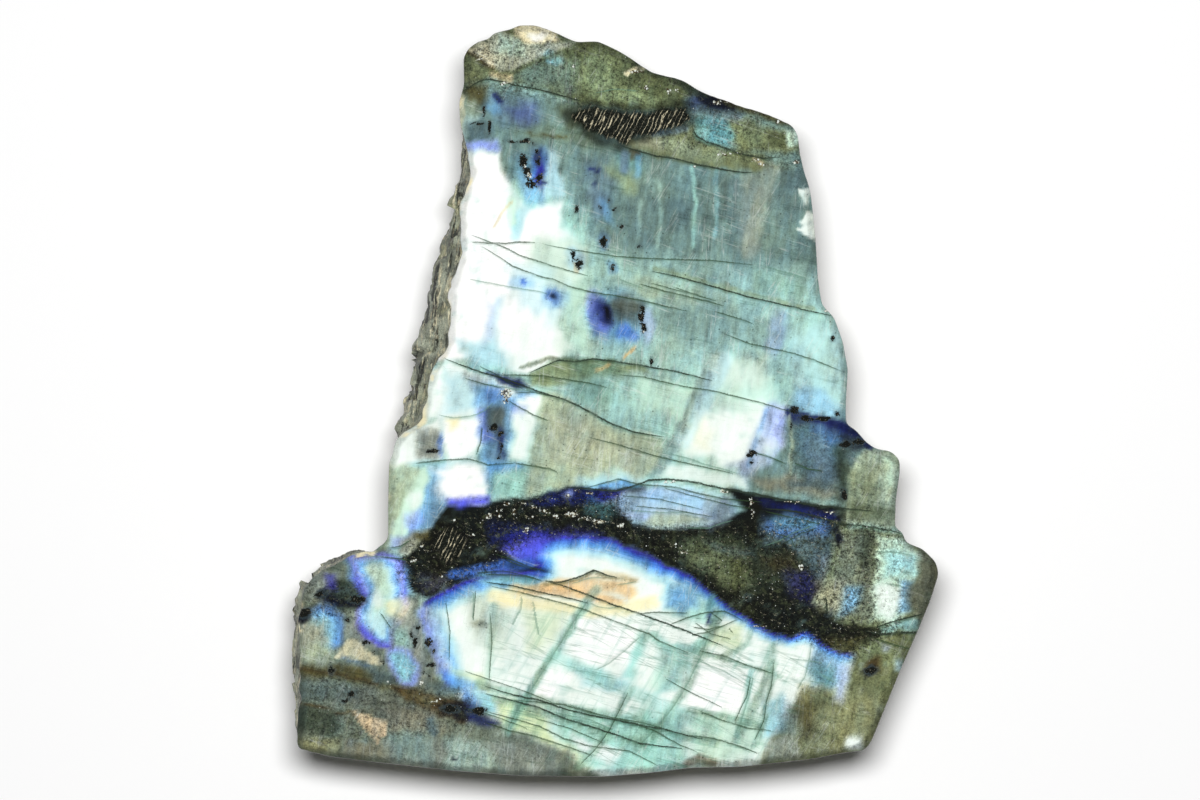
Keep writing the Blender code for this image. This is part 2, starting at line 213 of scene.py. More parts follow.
def cloud(points, size, key):
    """Smooth noise from -1 to 1: chance numbers at the corners of cells, blended across each cell."""
    scaled = points / size
    home = np.floor(scaled)
    share = smoothstep(0, 1, scaled - home)
    total = np.zeros(len(points))
    for corner in np.ndindex(2, 2, 2):
        weight = np.prod(np.where(corner, share, 1 - share), axis=1)
        total += weight * chance(home + np.array(corner), key)
    return 2 * total - 1


def facets(points, size, flattening, step, tilt):
    """Flat, tilted splinters: each point takes the plane, and the shade, of the nearest seed."""
    scaled = points / size * np.array([1.0, 1.0, flattening])
    home = np.floor(scaled)
    nearest = np.full(len(points), np.inf)
    height = np.zeros(len(points))
    shade = np.zeros(len(points))
    for shift in np.ndindex(3, 3, 3):
        cell = home + np.array(shift) - 1
        seed = cell + np.stack([chance(cell, key) for key in range(3)], axis=1)
        away = scaled - seed
        distance = np.linalg.norm(away, axis=1)
        slope = np.stack([chance(cell, key) - 0.5 for key in range(3, 6)], axis=1)
        plane = step * (chance(cell, 6) - 0.5) + tilt * size * (away * slope).sum(axis=1)
        closer = distance < nearest
        nearest = np.where(closer, distance, nearest)
        height = np.where(closer, plane, height)
        shade = np.where(closer, chance(cell, 7), shade)
    return height, shade


def bare_skin():
    """Rings of points from the face's border down the sides and in across the back.

    The eased edge is a quarter ellipse, a side bulges out by its flare and leans in by a power of
    its share of the way down, and the underside runs in to the resting flat's edge.
    """
    edge, flare, outward, flat, shares = outline_rings()
    lean = round_the_stone(LEAN_IN, shares)
    foot = round_the_stone(FOOT_HEIGHT, shares)
    rings = []
    for angle in np.linspace(0, np.pi / 2, EASED_RINGS):
        place = edge - outward * EASED_WIDTH * (1 - np.sin(angle))
        height = np.full(RING_POINTS, THICKNESS - EASED_DROP * (1 - np.cos(angle)))
        rings.append(np.column_stack([place, height]))
    for share in np.linspace(0, 1, SIDE_RINGS + 1)[1:]:
        bulge = smoothstep(0, BULGE_FULL, share) * (1 - BULGE_LOSS * smoothstep(BULGE_EASES, 1, share))
        reach = flare * bulge - lean * share**LEAN_POWER
        height = THICKNESS - EASED_DROP - (THICKNESS - EASED_DROP - foot) * share
        rings.append(np.column_stack([edge + outward * reach[:, None], height]))
    lower_edge = rings[-1][:, :2]
    for share in np.linspace(0, 1, UNDER_RINGS + 1)[1:]:
        place = lower_edge + (flat - lower_edge) * share
        rings.append(np.column_stack([place, foot * (1 - share) ** UNDER_POWER]))
    for share in np.linspace(0, 1, BACK_RINGS + 1)[1:-1]:
        place = flat + (np.array(BASE_CENTRE) - flat) * share
        rings.append(np.column_stack([place, np.zeros(RING_POINTS)]))
    return np.array(rings), flare


def chipped_skin():
    """The skin broken along its planes, splintered at three scales, and stepped on its back."""
    rings, flare = bare_skin()
    round_it = np.roll(rings, -1, axis=1) - np.roll(rings, 1, axis=1)
    facing = np.cross(np.gradient(rings, axis=0), round_it)
    facing /= np.linalg.norm(facing, axis=2)[:, :, None]
    loose = smoothstep(FACET_START, FACET_FULL, THICKNESS - rings[:, :, 2])
    for spot, direction, half_width in BREAKS:
        normal = np.array(direction) / np.linalg.norm(direction)
        beyond = np.maximum((rings - np.array(spot)) @ normal, 0)
        beside = np.linalg.norm((rings - np.array(spot))[:, :, :2], axis=2)
        near = 1 - smoothstep(half_width * 0.8, half_width, beside)
        rings = rings - (beyond * near * loose)[:, :, None] * normal

    points = rings.reshape(-1, 3)
    broad = [facets(points, *scale)[0] for scale in FACET_SCALES]
    fine, shade = facets(points + 0.8 * cloud(points, 2.6, 31)[:, None], *FINE_FACETS)
    shape = rings.shape[:2]
    relief = sum(broad).reshape(shape) - SUNK * (1 - smoothstep(0, SUNK_FLARE, flare))
    relief = np.minimum(relief, PROUD_LEAST + PROUD_SHARE * flare) * loose
    splinters = (fine - 0.2 + 0.25 * cloud(points, 1.1, 32)).reshape(shape)
    rim = smoothstep(0.3, 2.0, THICKNESS - rings[:, :, 2])
    relief += np.minimum(splinters, 0.05 + 0.05 * flare) * rim
    resting = rings[:, :, 2] <= 0
    relief[resting] = 0
    rings = rings + facing * relief[:, :, None]
    rings[:, :, 2] = np.maximum(rings[:, :, 2], np.where(resting, 0, LEAST_RISE))
    for spot, heading, rise in BACK_STEPS:
        way = np.array([np.cos(np.radians(heading)), np.sin(np.radians(heading))])
        beyond = (rings[:, :, :2] - np.array(spot)) @ way
        beyond += 0.5 * cloud(rings.reshape(-1, 3), 3.0, 33).reshape(shape)
        step = rise * smoothstep(0, STEP_WIDTH, beyond)
        rings[:, :, 2] = np.where(rings[:, :, 2] < rise, np.maximum(rings[:, :, 2], step), rings[:, :, 2])
    return rings, shade.reshape(shape)


skin, skin_shade = chipped_skin()

# The polished face. It was lapped flat, then polished to a wet gloss, and three pockets stay broken
# because the lap didn't reach their floors.

POCKETS = {
    "striated pocket": (
        [
            (-9.0, 57.2), (-7.0, 58.2), (-5.0, 58.8), (-3.6, 58.9), (-2.0, 58.2), (0.0, 58.4),
            (2.0, 57.6), (4.0, 57.9), (7.0, 57.6), (9.6, 58.6), (12.0, 58.7), (14.4, 58.4),
            (15.2, 56.4), (13.6, 55.2), (11.6, 54.6), (10.0, 54.2), (8.4, 53.6), (6.0, 52.9),
            (4.6, 53.1), (2.6, 51.6), (1.6, 51.4), (0.0, 52.6), (-1.4, 52.4), (-3.6, 53.6),
            (-5.6, 54.4), (-6.6, 55.6), (-8.4, 56.4),
        ],
        0.9,
    ),
    "knot pocket": (
        [
            (-36.2, -29.0), (-35.0, -26.0), (-33.0, -25.4), (-31.4, -26.0), (-29.2, -28.0),
            (-30.4, -30.4), (-32.0, -32.6), (-34.8, -31.6),
        ],
        0.7,
    ),
    "vein pocket": (
        [
            (-19.0, -19.2), (-12.0, -18.6), (-5.2, -20.0), (1.4, -22.6), (4.6, -25.2),
            (0.6, -25.8), (-6.0, -23.6), (-13.0, -22.0), (-18.2, -21.2),
        ],
        0.6,
    ),
}


def inside_by(places, outline):
    """How far each place lies inside a closed outline, and negative outside it."""
    corners = np.array(outline, float).reshape(-1, 2)
    x, y = places[:, 0], places[:, 1]
    nearest = np.full(len(places), np.inf)
    within = np.zeros(len(places), bool)
    for (x0, y0), (x1, y1) in zip(corners, np.roll(corners, -1, axis=0)):
        run_x, run_y = x1 - x0, y1 - y0
        share = ((x - x0) * run_x + (y - y0) * run_y) / (run_x**2 + run_y**2)
        share = np.clip(share, 0, 1)
        away = np.hypot(x - x0 - share * run_x, y - y0 - share * run_y)
        nearest = np.minimum(nearest, away)
        if run_y:
            within ^= ((y0 > y) != (y1 > y)) & (x < x0 + (y - y0) * run_x / run_y)
    return np.where(within, nearest, -nearest)


def face_grid(border):
    """A grid filled in from its border: two ruled sheets added, less the corners' own sheet."""
    foot = np.vstack([border[:ACROSS], border[ACROSS]])
    right = border[ACROSS:ACROSS + ALONG + 1]
    head = border[ACROSS + ALONG:2 * ACROSS + ALONG + 1][::-1]
    left = np.vstack([border[2 * ACROSS + ALONG:], border[:1]])[::-1]
    u = np.linspace(0, 1, ACROSS + 1)[None, :, None]
    v = np.linspace(0, 1, ALONG + 1)[:, None, None]
    ruled = (1 - v) * foot[None] + v * head[None] + (1 - u) * left[:, None] + u * right[:, None]
    low = (1 - u) * foot[0] + u * foot[-1]
    high = (1 - u) * head[0] + u * head[-1]
    return ruled - (1 - v) * low - v * high


POCKET_JAG, POCKET_WALL = 0.3, 0.6
FACE_WAVE, WAVE_LENGTH = 0.03, 14.0
grid = face_grid(skin[0])
face_points = grid.reshape(-1, 3)
jag = POCKET_JAG * cloud(face_points, 1.3, 41)
for outline, depth in POCKETS.values():
    dug = inside_by(face_points, outline) + jag
    floor = 1 + 0.25 * cloud(face_points, 1.6, 42)
    face_points[:, 2] -= depth * floor * smoothstep(0, POCKET_WALL, dug)
face_points[:, 2] += FACE_WAVE * cloud(face_points * np.array([1, 1, 0]), WAVE_LENGTH, 43)

# One closed mesh: the grid's own border is the first ring, and the rest of the rings follow it
grid_numbers = np.arange(len(face_points)).reshape(ALONG + 1, ACROSS + 1)
first_ring = np.concatenate([
    grid_numbers[0, :-1], grid_numbers[:-1, -1], grid_numbers[-1, :0:-1], grid_numbers[:0:-1, 0],
])
ring_count = len(skin)
more_rings = len(face_points) + np.arange((ring_count - 1) * RING_POINTS)
ring_numbers = np.vstack([first_ring, more_rings.reshape(ring_count - 1, RING_POINTS)])
centre_number = len(face_points) + (ring_count - 1) * RING_POINTS
centre_point = np.array([[BASE_CENTRE[0], BASE_CENTRE[1], 0.0]])
stone_points = np.vstack([face_points, skin[1:].reshape(-1, 3), centre_point])

face_quads = np.stack([
    grid_numbers[:-1, :-1], grid_numbers[:-1, 1:], grid_numbers[1:, 1:], grid_numbers[1:, :-1],
], axis=-1).reshape(-1, 4)
ahead = np.roll(ring_numbers, -1, axis=1)
side_quads = np.stack([ring_numbers[:-1], ring_numbers[1:], ahead[1:], ahead[:-1]], axis=-1)
side_quads = side_quads.reshape(-1, 4)
closing = np.column_stack([ring_numbers[-1], np.full(RING_POINTS, centre_number), ahead[-1]])

stone_mesh = bpy.data.meshes.new("labradorite_stone")
stone_mesh.from_pydata(
    stone_points * MM, [], face_quads.tolist() + side_quads.tolist() + closing.tolist()
)
stone = bpy.data.objects.new("labradorite_stone", stone_mesh)
bpy.context.scene.collection.objects.link(stone)

# The colours of the polished face. Thin lamellae under the polish flash back light of one colour,
# from violet where they end, through blue, cyan and mint, to white where they flash fully. Between
# the flashes the feldspar shows its own greys and olives. Each zone is read from the photo.

FULL_FLASH, FULLEST_FLASH = 0.87, 0.98
DISPLAY_POWER = 2.2
SHADES = {
    "white": (254, 255, 252), "milk": (238, 247, 240), "mint": (203, 229, 212),
    "ice": (194, 228, 234), "cyan": (146, 204, 216), "sky": (112, 172, 222),
    "blue": (66, 110, 200), "periwinkle": (146, 164, 226), "violet": (104, 92, 206),
    "indigo": (52, 48, 160), "navy": (26, 34, 84), "ink": (16, 20, 34), "pitch": (20, 23, 19),
    "bottle": (46, 56, 46), "moss": (86, 94, 66), "olive": (112, 120, 88),
    "leaf": (134, 150, 112), "ochre": (122, 108, 66), "sage": (170, 186, 160),
    "beige": (196, 192, 162), "sand": (206, 190, 152), "cream": (238, 228, 192),
    "butter": (247, 236, 188), "peach": (234, 194, 130), "umber": (66, 54, 34),
    "taupe": (134, 130, 112), "slate": (76, 94, 98), "grey teal": (114, 142, 138),
    "teal": (96, 146, 150), "pale teal": (160, 197, 189), "grey": (146, 154, 146),
    "dusk": (84, 84, 108), "steel": (100, 124, 144), "haze": (164, 182, 210),
    "stone grey": (92, 96, 86), "ash": (160, 166, 148), "aqua": (158, 206, 196), "lime": (214, 228, 184),
    "fern": (52, 72, 46), "jade": (112, 152, 132), "iris": (84, 86, 208),
    "lichen": (110, 120, 106), "khaki": (150, 152, 114), "bark": (78, 72, 42), "clay": (190, 172, 142),
}

# Colours by depth inside a zone's edge, in millimetres
RAMPS = {
    "flash": [(-0.3, "navy"), (0.4, "indigo"), (1.1, "blue"), (2.2, "sky"), (3.4, "ice"), (5.0, "milk")],
    "short flash": [(0.0, "violet"), (0.7, "periwinkle"), (1.6, "sky"), (2.4, "ice"), (3.4, "mint")],
}

# The zones in the order that they are laid: shade or ramp, softness of the edge, strength, and the
# outline, whose points' x and y follow in turn, as in each list of points below
ZONES = [
    # the dull blue-green upper right, and the paler band under it
    ("grey teal", 2.6, 1.0, [-13, 54, -10, 44, -8, 36, -4, 33, 2, 29, 20, 28, 42, 26, 42, 60, 15, 64,
        -10, 62]),
    ("slate", 1.4, 0.4, [10, 40, 15.5, 40, 15.5, 34, 10, 33]),
    ("slate", 1.2, 0.35, [17, 39, 20.6, 39, 20.6, 34.6, 17, 34.6]),
    ("slate", 1.2, 0.4, [21.4, 45, 25, 45, 25.4, 36, 21.4, 36]),
    ("slate", 1.4, 0.35, [2.5, 41, 8, 41, 7.4, 31, 3, 31]),
    ("slate", 1.2, 0.35, [31.5, 42, 37, 42, 37, 36, 32, 35]),
    ("slate", 1.2, 0.5, [33, 49, 38.6, 48, 39.4, 42.6, 34, 42]),
    ("grey", 1.6, 0.5, [25, 45, 30, 46, 28.6, 30, 24.6, 30]),
    ("pale teal", 3.0, 0.8, [20, 17, 45, 16, 47, 8, 46, -3, 36, -2, 20, 3]),
    ("ice", 2.0, 0.5, [35, 14, 45, 15, 47, 4, 46, -3, 38, -2, 36, 4]),
    ("sage", 1.6, 0.5, [0, 25, 7, 24.8, 22, 20.6, 24, 19, 12, 19, 3, 21]),
    ("grey teal", 2.0, 0.5, [9, 20, 22, 20, 34, 15, 32, 11, 18, 12, 9, 14]),
    ("grey teal", 1.2, 0.5, [9, 28, 24, 27.5, 24, 23, 10, 25]),
    ("jade", 1.4, 0.3, [27, 27, 38, 25, 38, 20, 28, 21.5]),
    # the head: olive cap, blue-grey shoulder
    ("moss", 0.7, 1.0, [-32, 61, -31, 69, -28, 73, -22, 76, -14, 76, -7, 73, 1, 72, 9, 67, 16, 65, 20, 61,
        14, 58.6, 3, 58.0, -5, 59.2, -9, 60.4, -15, 62.2, -20, 63.2, -25, 64.4, -28, 63.6]),
    ("leaf", 2.2, 0.75, [-12, 66, -4, 70, 2, 68, 5, 64, 14, 61, 12, 59, -4, 60]),
    ("grey teal", 1.8, 0.6, [-20, 66, -13, 68, -8, 68, -8, 62, -14, 62, -20, 63]),
    ("moss", 1.2, 0.9, [0, 69, 7, 66.5, 16, 63.5, 14, 60.4, 8, 61, 1, 63]),
    ("leaf", 1.2, 0.5, [-2, 62.5, 6, 62, 6, 59, -3, 60]),
    ("ash", 0.5, 1.0, [-24.4, 73.5, -22.5, 74.6, -20.5, 73, -18.3, 71.9, -14, 71.4, -8, 71.8, -9, 70.4,
        -13, 69.3, -14.6, 68.3, -19, 66.8, -20.2, 66, -23, 65.6, -24.8, 67.2, -27.5, 69.3, -29, 70,
        -27.3, 72.4]),
    ("aqua", 1.2, 0.4, [-23, 73.4, -18.4, 71.8, -18, 69, -22.6, 69.6]),
    ("sand", 0.8, 0.5, [-28.8, 70.2, -24.6, 67.4, -23, 69, -25.6, 71.4, -27, 72]),
    ("cream", 0.5, 0.9, [-20.4, 76, -16, 76, -12, 74.6, -10.6, 71.8, -14, 71.5, -17.5, 71.5, -19.5, 73]),
    ("olive", 0.5, 0.9, [-29.5, 69.5, -25, 66, -25, 64.5, -29.6, 63, -31, 66]),
    ("sand", 0.4, 0.8, [-25, 65.4, -20.2, 65, -20, 63.2, -23, 63.9, -25, 64.6]),
    ("grey teal", 1.2, 1.0, [-32, 62, -28, 63.4, -25, 64.2, -20, 63, -15, 62, -9, 60.2, -8, 52, -9, 46,
        -15, 47, -20, 44, -23, 44, -23, 53, -31, 51]),
    ("bark", 1.2, 0.9, [-31, 62, -27, 63.8, -25.4, 62.8, -25.6, 59.6, -29, 59.4]),
    ("sage", 1.3, 0.6, [-31.5, 60, -27, 60, -26.4, 57.4, -31.5, 56]),
    ("ice", 1.2, 0.6, [-31.6, 57, -27, 56.6, -29, 54, -29.6, 52, -32, 52]),
    ("steel", 1.8, 0.8, [-25, 61, -17, 61, -14, 57, -17, 54.6, -24, 56]),
    ("indigo", 2.0, 0.3, [-21.5, 58.6, -16.4, 58.6, -15.5, 56.2, -19.5, 55.4]),
    ("slate", 1.0, 0.8, [-29, 55.4, -24.6, 55.6, -24, 53, -25, 52, -29, 52.4]),
    ("periwinkle", 0.8, 0.95, [-30, 51.8, -23.2, 52.6, -22.9, 50.2, -29.6, 49.9]),
    ("leaf", 1.6, 0.3, [-21, 55, -9, 55, -9, 51, -19, 52]),
    ("moss", 1.8, 0.7, [-12, 59.5, -7, 60, -3, 54, -9, 54.6]),
    ("moss", 0.9, 0.4, [-12, 53, -4, 54, -1, 50, -6, 50.4]),
    ("bottle", 0.9, 0.6, [-8, 55.6, -4, 53.4, 0, 51.4, 4, 50, 1, 49.6, -5, 52.4]),
    ("slate", 1.8, 0.6, [-7, 49, -2, 48.6, -1, 45, -6, 44.4]),
    ("steel", 1.4, 0.5, [-6, 48, -1.4, 48, 0.6, 44, -1.5, 38, -4, 36, -5, 43]),
    ("teal", 1.2, 0.6, [0.6, 49.4, 6.4, 49.6, 5.6, 45, 1.4, 46.4]),
    ("leaf", 1.4, 0.7, [-2.5, 47.4, 1, 47, 4.6, 43.6, 4, 41.4, 0.5, 43]),
    # the strip between the pocket and the long crack, and the stone's right shoulder
    ("olive", 0.8, 0.95, [1.5, 52, 8, 53, 13, 55, 15.5, 55.6, 18, 52, 24, 50, 33, 49, 36.6, 47, 28, 46,
        18, 46.8, 12, 48.2, 5, 49.8]),
    ("beige", 1.0, 0.5, [3.4, 51.4, 7, 53, 10, 52.4, 10, 50.4, 5, 50.6]),
    ("sage", 1.2, 0.4, [8, 52, 14, 52, 22, 49, 22, 47.6, 12, 49.4]),
    ("leaf", 1.2, 0.4, [17, 50.4, 23, 49.6, 22, 47, 16, 47.8]),
    ("olive", 1.2, 1.0, [22, 57, 37, 57, 38, 49, 25, 50]),
    ("leaf", 1.4, 0.4, [23, 55, 30, 55.6, 31, 51, 24, 51]),
    ("grey teal", 1.0, 0.9, [26, 57.6, 36, 56, 36, 53.8, 30, 54.6]),
    ("moss", 0.7, 0.9, [31, 53.8, 34.6, 53.4, 34.4, 50.6, 31.4, 51]),
    ("grey teal", 1.2, 0.8, [30, 49.6, 37, 50, 38, 46, 31, 47]),
    ("teal", 1.0, 0.9, [15.5, 56.8, 22.6, 56.4, 24, 53, 22.4, 51, 19.4, 51.4, 16.4, 53]),
    ("aqua", 0.8, 0.5, [16, 55.4, 19.4, 54.6, 18.6, 52.8, 16.8, 53]),
    ("slate", 0.9, 1.0, [14, 60, 16, 63, 20, 62.4, 26, 59, 25.4, 56.8, 19, 57.2, 15.2, 57.4]),
    ("navy", 1.0, 0.5, [15.4, 61.6, 18.4, 61.8, 18, 58.6, 15.8, 58.8]),
    ("steel", 0.9, 0.6, [22.2, 58, 26, 57.2, 25, 55.8, 22, 56.2]),
    ("ink", 0.6, 1.0, [17.0, 62.4, 20.4, 61.6, 24.6, 59.6, 24, 58, 18.6, 58.6, 16.6, 60]),
    ("bark", 0.7, 0.8, [20, 61.4, 28, 59, 36, 55.8, 35.4, 55, 27, 57.4, 22, 59.4]),
    ("mint", 0.4, 0.9, [34.2, 54.2, 36.6, 54.4, 37, 51.4, 35, 50.8, 34.4, 52]),
    ("milk", 0.25, 0.9, [37, 42.4, 39.6, 42.6, 38.8, 40.4, 38.9, 39.4, 38, 39.4, 37.4, 40.6]),
    ("milk", 0.25, 0.95, [38.6, 38, 40.6, 37.4, 40.8, 31.4, 39.6, 32.4, 38, 33.4, 36.6, 34.4, 38, 35,
        37, 35.8, 38, 36.6]),
    # the white flash down the left, and the cyan that it fades to
    ("white", 1.0, 1.0, [-32, 49.8, -22.9, 49.9, -22.4, 46, -21, 43.5, -19, 41, -16.5, 38.5, -13, 39.5,
        -10.3, 40, -10, 35, -7, 33, -5.5, 30, -6.5, 25, -10, 21, -11, 15, -8, 10.5, -12, 8, -17, 5.8,
        -24, 7, -30, 8, -37, 8, -36, 20, -33, 32, -31, 42]),
    ("mint", 2.6, 0.75, [-16, 33, -5, 34, -4, 9, -11, 8, -12, 20, -18, 28]),
    ("ice", 2.4, 0.6, [-21, 28, -13, 26, -8, 21, -12, 15, -19, 18]),
    ("cyan", 1.8, 0.6, [-31, 12, -24, 12, -19, 7.5, -22, 5.6, -29, 6.8]),
    ("ice", 1.2, 0.5, [-24, 21, -22, 21, -23.6, 11, -26.4, 11]),
    ("periwinkle", 1.4, 0.25, [-25, 20, -23.6, 20, -24.6, 12, -26, 12]),
    ("aqua", 1.0, 0.5, [-20, 47, -17.4, 42.6, -19.6, 34, -21.4, 35]),
    ("ice", 0.8, 0.8, [-13.6, 50, -11.6, 50, -9.8, 41, -14.4, 40.6]),
    ("aqua", 1.8, 0.5, [-10, 40, -5, 38, -5, 31, -10, 33]),
    ("milk", 1.0, 0.7, [-21, 14, -14, 18, -11, 14, -12, 9.4, -17, 6.6, -21, 7]),
    # under the crack that runs in from the left flank
    ("milk", 0.8, 1.0, [-39.5, 5, -33, 7.8, -29, 6.2, -25, 4.4, -20, 2.4, -14, 1, -15, -3, -26, -2.4,
        -30, -3.2, -35, -3, -40, -5]),
    ("ice", 1.6, 0.8, [-34, 6, -25, 3.6, -26, -2, -34, -2]),
    ("steel", 1.2, 0.5, [-30, 5.4, -25, 4.4, -25, 1.6, -29, 2]),
    ("sky", 1.2, 0.8, [-28, 3, -24, 3, -21, 1, -20, -1, -23, -1.6, -28, -0.6]),
    ("blue", 1.0, 0.5, [-26, 2.4, -23, 2.6, -22, 0, -25, -1]),
    ("navy", 0.7, 0.95, [-26, 5.8, -22.4, 5, -18.6, 4.6, -17.6, 3.2, -20.2, 2.8, -23, 3.6]),
    ("sky", 0.9, 0.7, [-20, 2.6, -16, 2, -15.6, 0.8, -18, 0, -20, 0.6]),
    ("periwinkle", 0.9, 0.7, [-21, -1, -17.4, -1.4, -18, -4, -20.6, -4]),
    ("white", 0.8, 0.8, [-18, 1, -14.6, 1.2, -14.4, -1.6, -16.6, -2.2]),
    # the olive wedge and the sage field
    ("leaf", 0.5, 0.9, [-17, 5.7, -13, 7.5, -10, 8.2, -3, 8.3, 6, 7, 8, 5, -3, 3.8, -12, 2.8, -16.4, 3]),
    ("jade", 1.0, 0.5, [-9, 7.6, 1, 7.6, 2, 3.4, -6, 3]),
    ("pale teal", 1.2, 0.9, [-10, 3.6, 2, 5.4, 8, 5, 9, 1, 3, -4.8, -3, -3.2, -8, -0.8]),
    ("jade", 1.2, 0.5, [-8, 4, -1, 4, 0, 0, -4, -1.6, -8, 0.4]),
    ("pale teal", 1.4, 0.9, [2, 6, 18, 4.4, 16, -2, 11, -7, 4, -6, 0, -4, 3, 1]),
    ("mint", 1.2, 0.7, [4, 5.4, 10, 4, 16, 2.4, 13, -4, 5, -1]),
    ("sage", 1.0, 1.0, [-14.4, 0.8, -12, 1.6, -6, -1.6, 0, -5, 9.5, -7.2, 10.3, -12, 6, -15.8, 1, -15.4,
        -5, -15.6, -9.5, -17.6, -18, -19, -17.5, -12, -15.5, -6]),
    ("beige", 2.6, 0.35, [-13, -2, -3, -5, 4, -9, 5, -14, -4, -14, -13, -12]),
    ("ice", 1.0, 0.7, [-8, -15.6, 2, -13.8, 7, -16, 0, -17, -8, -17]),
    ("milk", 2.0, 1.0, [16, 2, 20, 9, 29, 8, 32, 2, 34.6, -2, 35, -9, 30, -11, 26, -14, 18, -11.8,
        11.6, -9.4, 13.4, -5, 16, -1]),
    ("butter", 2.2, 0.3, [14, -3, 19, -3, 19, -9.6, 13, -9]),
    ("aqua", 2.0, 0.5, [16, 4, 28, 3, 33, 4, 34, 0, 24, -1, 16, -2]),
    ("mint", 1.6, 0.6, [18, 9, 30, 9, 33, 2, 32, -2, 18, -1]),
    ("milk", 1.4, 0.6, [27, -1, 32, -1, 32, -9, 27, -10]),
    ("periwinkle", 2.4, 0.7, [31.6, -1.4, 36, -2.6, 36, -10, 32.6, -10, 30.6, -6]),
    ("sky", 1.4, 0.4, [36, 3, 41, 2, 46, -2, 46, -5, 36, -3]),
    ("milk", 1.0, 0.8, [9, -13, 16, -12.8, 27, -15.4, 27, -17.8, 18, -16.4, 9, -15.2]),
    ("haze", 1.2, 0.7, [23, -12.4, 32, -10, 35, -12, 34, -15, 27, -16.6]),
    # the left column, above the vein
    ("milk", 0.6, 1.0, [-46, -7, -41, -5.6, -34.8, -3.4, -34.6, -12, -41, -13.4, -46, -13.4]),
    ("sage", 1.2, 0.9, [-47, -12.8, -38, -12.8, -38, -17, -42, -23, -45, -29.6, -47, -29]),
    ("mint", 0.8, 1.0, [-38.6, -13.4, -36.6, -13.2, -36.8, -17.4, -38.6, -21, -43, -28.8, -45.4, -29,
        -44, -25, -41.6, -20]),
    ("milk", 0.9, 0.9, [-41, -18.4, -38.6, -18, -38.4, -20.6, -40.6, -21.4]),
    ("sky", 1.0, 0.8, [-36.6, -13, -33, -12, -33, -21, -35.4, -25, -39.6, -27.6, -42.6, -28, -40, -24,
        -37.4, -19]),
    ("steel", 1.2, 0.7, [-36, -16, -33.4, -17, -33, -22, -36, -25.4, -38, -24.6, -36.4, -20]),
    ("periwinkle", 1.0, 0.6, [-41.6, -23, -39, -21.4, -38, -24, -41, -27.4]),
    ("cyan", 0.9, 0.6, [-41.6, -12.6, -34, -11.2, -26, -11.8, -26, -12.8, -34, -13.2, -39, -13.8]),
    ("white", 1.5, 1.0, [-34.4, -3.2, -26.9, -3.4, -26.6, -8, -28, -11.3, -33, -11.8, -34.6, -9]),
    ("white", 1.6, 1.0, [-36, -13.8, -33, -12.6, -28, -12.2, -25.4, -13.6, -24.6, -17.4, -26, -21, -31, -21,
        -33.6, -19.6, -35, -16.6]),
    ("butter", 1.0, 0.8, [-33.4, -3.4, -30.6, -3.4, -30.8, -5.4, -32.6, -5.6]),
    ("sky", 1.4, 0.85, [-27, -1, -20, 0, -20.4, -8, -22, -14, -24, -19, -26, -14, -26.6, -8]),
    ("steel", 1.8, 0.8, [-25.6, -1, -21.6, -1, -20.8, -8, -22, -12, -25, -11, -25.6, -7]),
    ("iris", 1.4, 0.5, [-27, -2, -25.4, -2, -24.6, -8, -26.6, -8]),
    ("sky", 0.8, 0.8, [-25.6, -12, -19, -12.4, -18, -14, -25, -14.4]),
    ("milk", 1.0, 0.95, [-20.2, -2.6, -15.4, -1.8, -15.2, -4, -16.8, -9, -18, -12, -20.8, -11, -19.8, -7]),
    ("aqua", 1.2, 0.9, [-24, -14, -17.6, -13.4, -18, -19, -24.6, -19.4]),
    # the dark vein
    ("taupe", 1.0, 0.8, [-43.6, -27.6, -40.6, -26.2, -36.4, -25.2, -36, -30, -40, -31.4, -43.6, -30.6]),
    ("pitch", 0.5, 1.0, [-43.6, -31.6, -40.6, -30.4, -38.6, -28, -36.4, -25.2, -34.6, -22.6, -33.2, -21,
        -30, -20.6, -27, -21, -24, -20.4, -20, -19.6, -15, -19, -11, -18, -9.5, -17.3, -6, -17.4, -2, -17.8,
        2, -17.4, 6, -16.8, 6, -18, 1, -19.4, 2, -22, 4, -24.6, 10, -25.6, 18, -25.2, 22.4, -23.6, 26, -22,
        24, -19.6, 22, -17.4, 30, -18.9, 46, -21.2, 47, -25, 43.4, -27, 42, -37, 40, -40, 46, -44, 54, -45,
        54, -48, 49, -50.6, 45, -50.2, 42, -49, 40, -47.2, 38, -46.2, 35, -47, 32, -46.5, 28, -44.5,
        24, -41.8, 20, -39.3, 17, -36.5, 15, -35, 13, -33.5, 10, -32.6, 7, -30.8, 3, -29, 0, -27.6,
        -5, -26.6, -10, -26.8, -14, -27.6, -18, -28.6, -22, -30.6, -18, -32.6, -15, -33.8, -19, -34.2,
        -26, -34.4, -30, -36, -34, -38, -37, -39.6, -40, -38.4, -42, -36, -43.2, -33]),
    ("iris", 0.8, 0.9, [-33.4, -19.6, -28, -19, -25, -19.2, -25, -20.6, -30, -21.2, -33.4, -21]),
    ("navy", 0.7, 0.95, [-18, -20.4, -12, -18.4, -9.5, -17.5, -2, -18, 2, -17.8, 0, -20, -6, -20.6,
        -14, -20.8]),
    ("indigo", 0.8, 0.5, [-3, -18.4, 3, -17.6, 2, -19.4, -4, -20]),
    ("navy", 1.4, 0.8, [-25, -24, -18, -24.6, -13, -25, -13, -27.6, -19, -28.6, -25, -29]),
    ("indigo", 1.0, 0.45, [-22, -26.8, -15, -25.8, -8, -25.4, -2, -26, -6, -27, -14, -28.2, -22, -30]),
    ("bottle", 1.4, 0.7, [12, -27, 24, -26, 30, -29, 38, -31, 38, -38, 28, -38, 16, -34]),
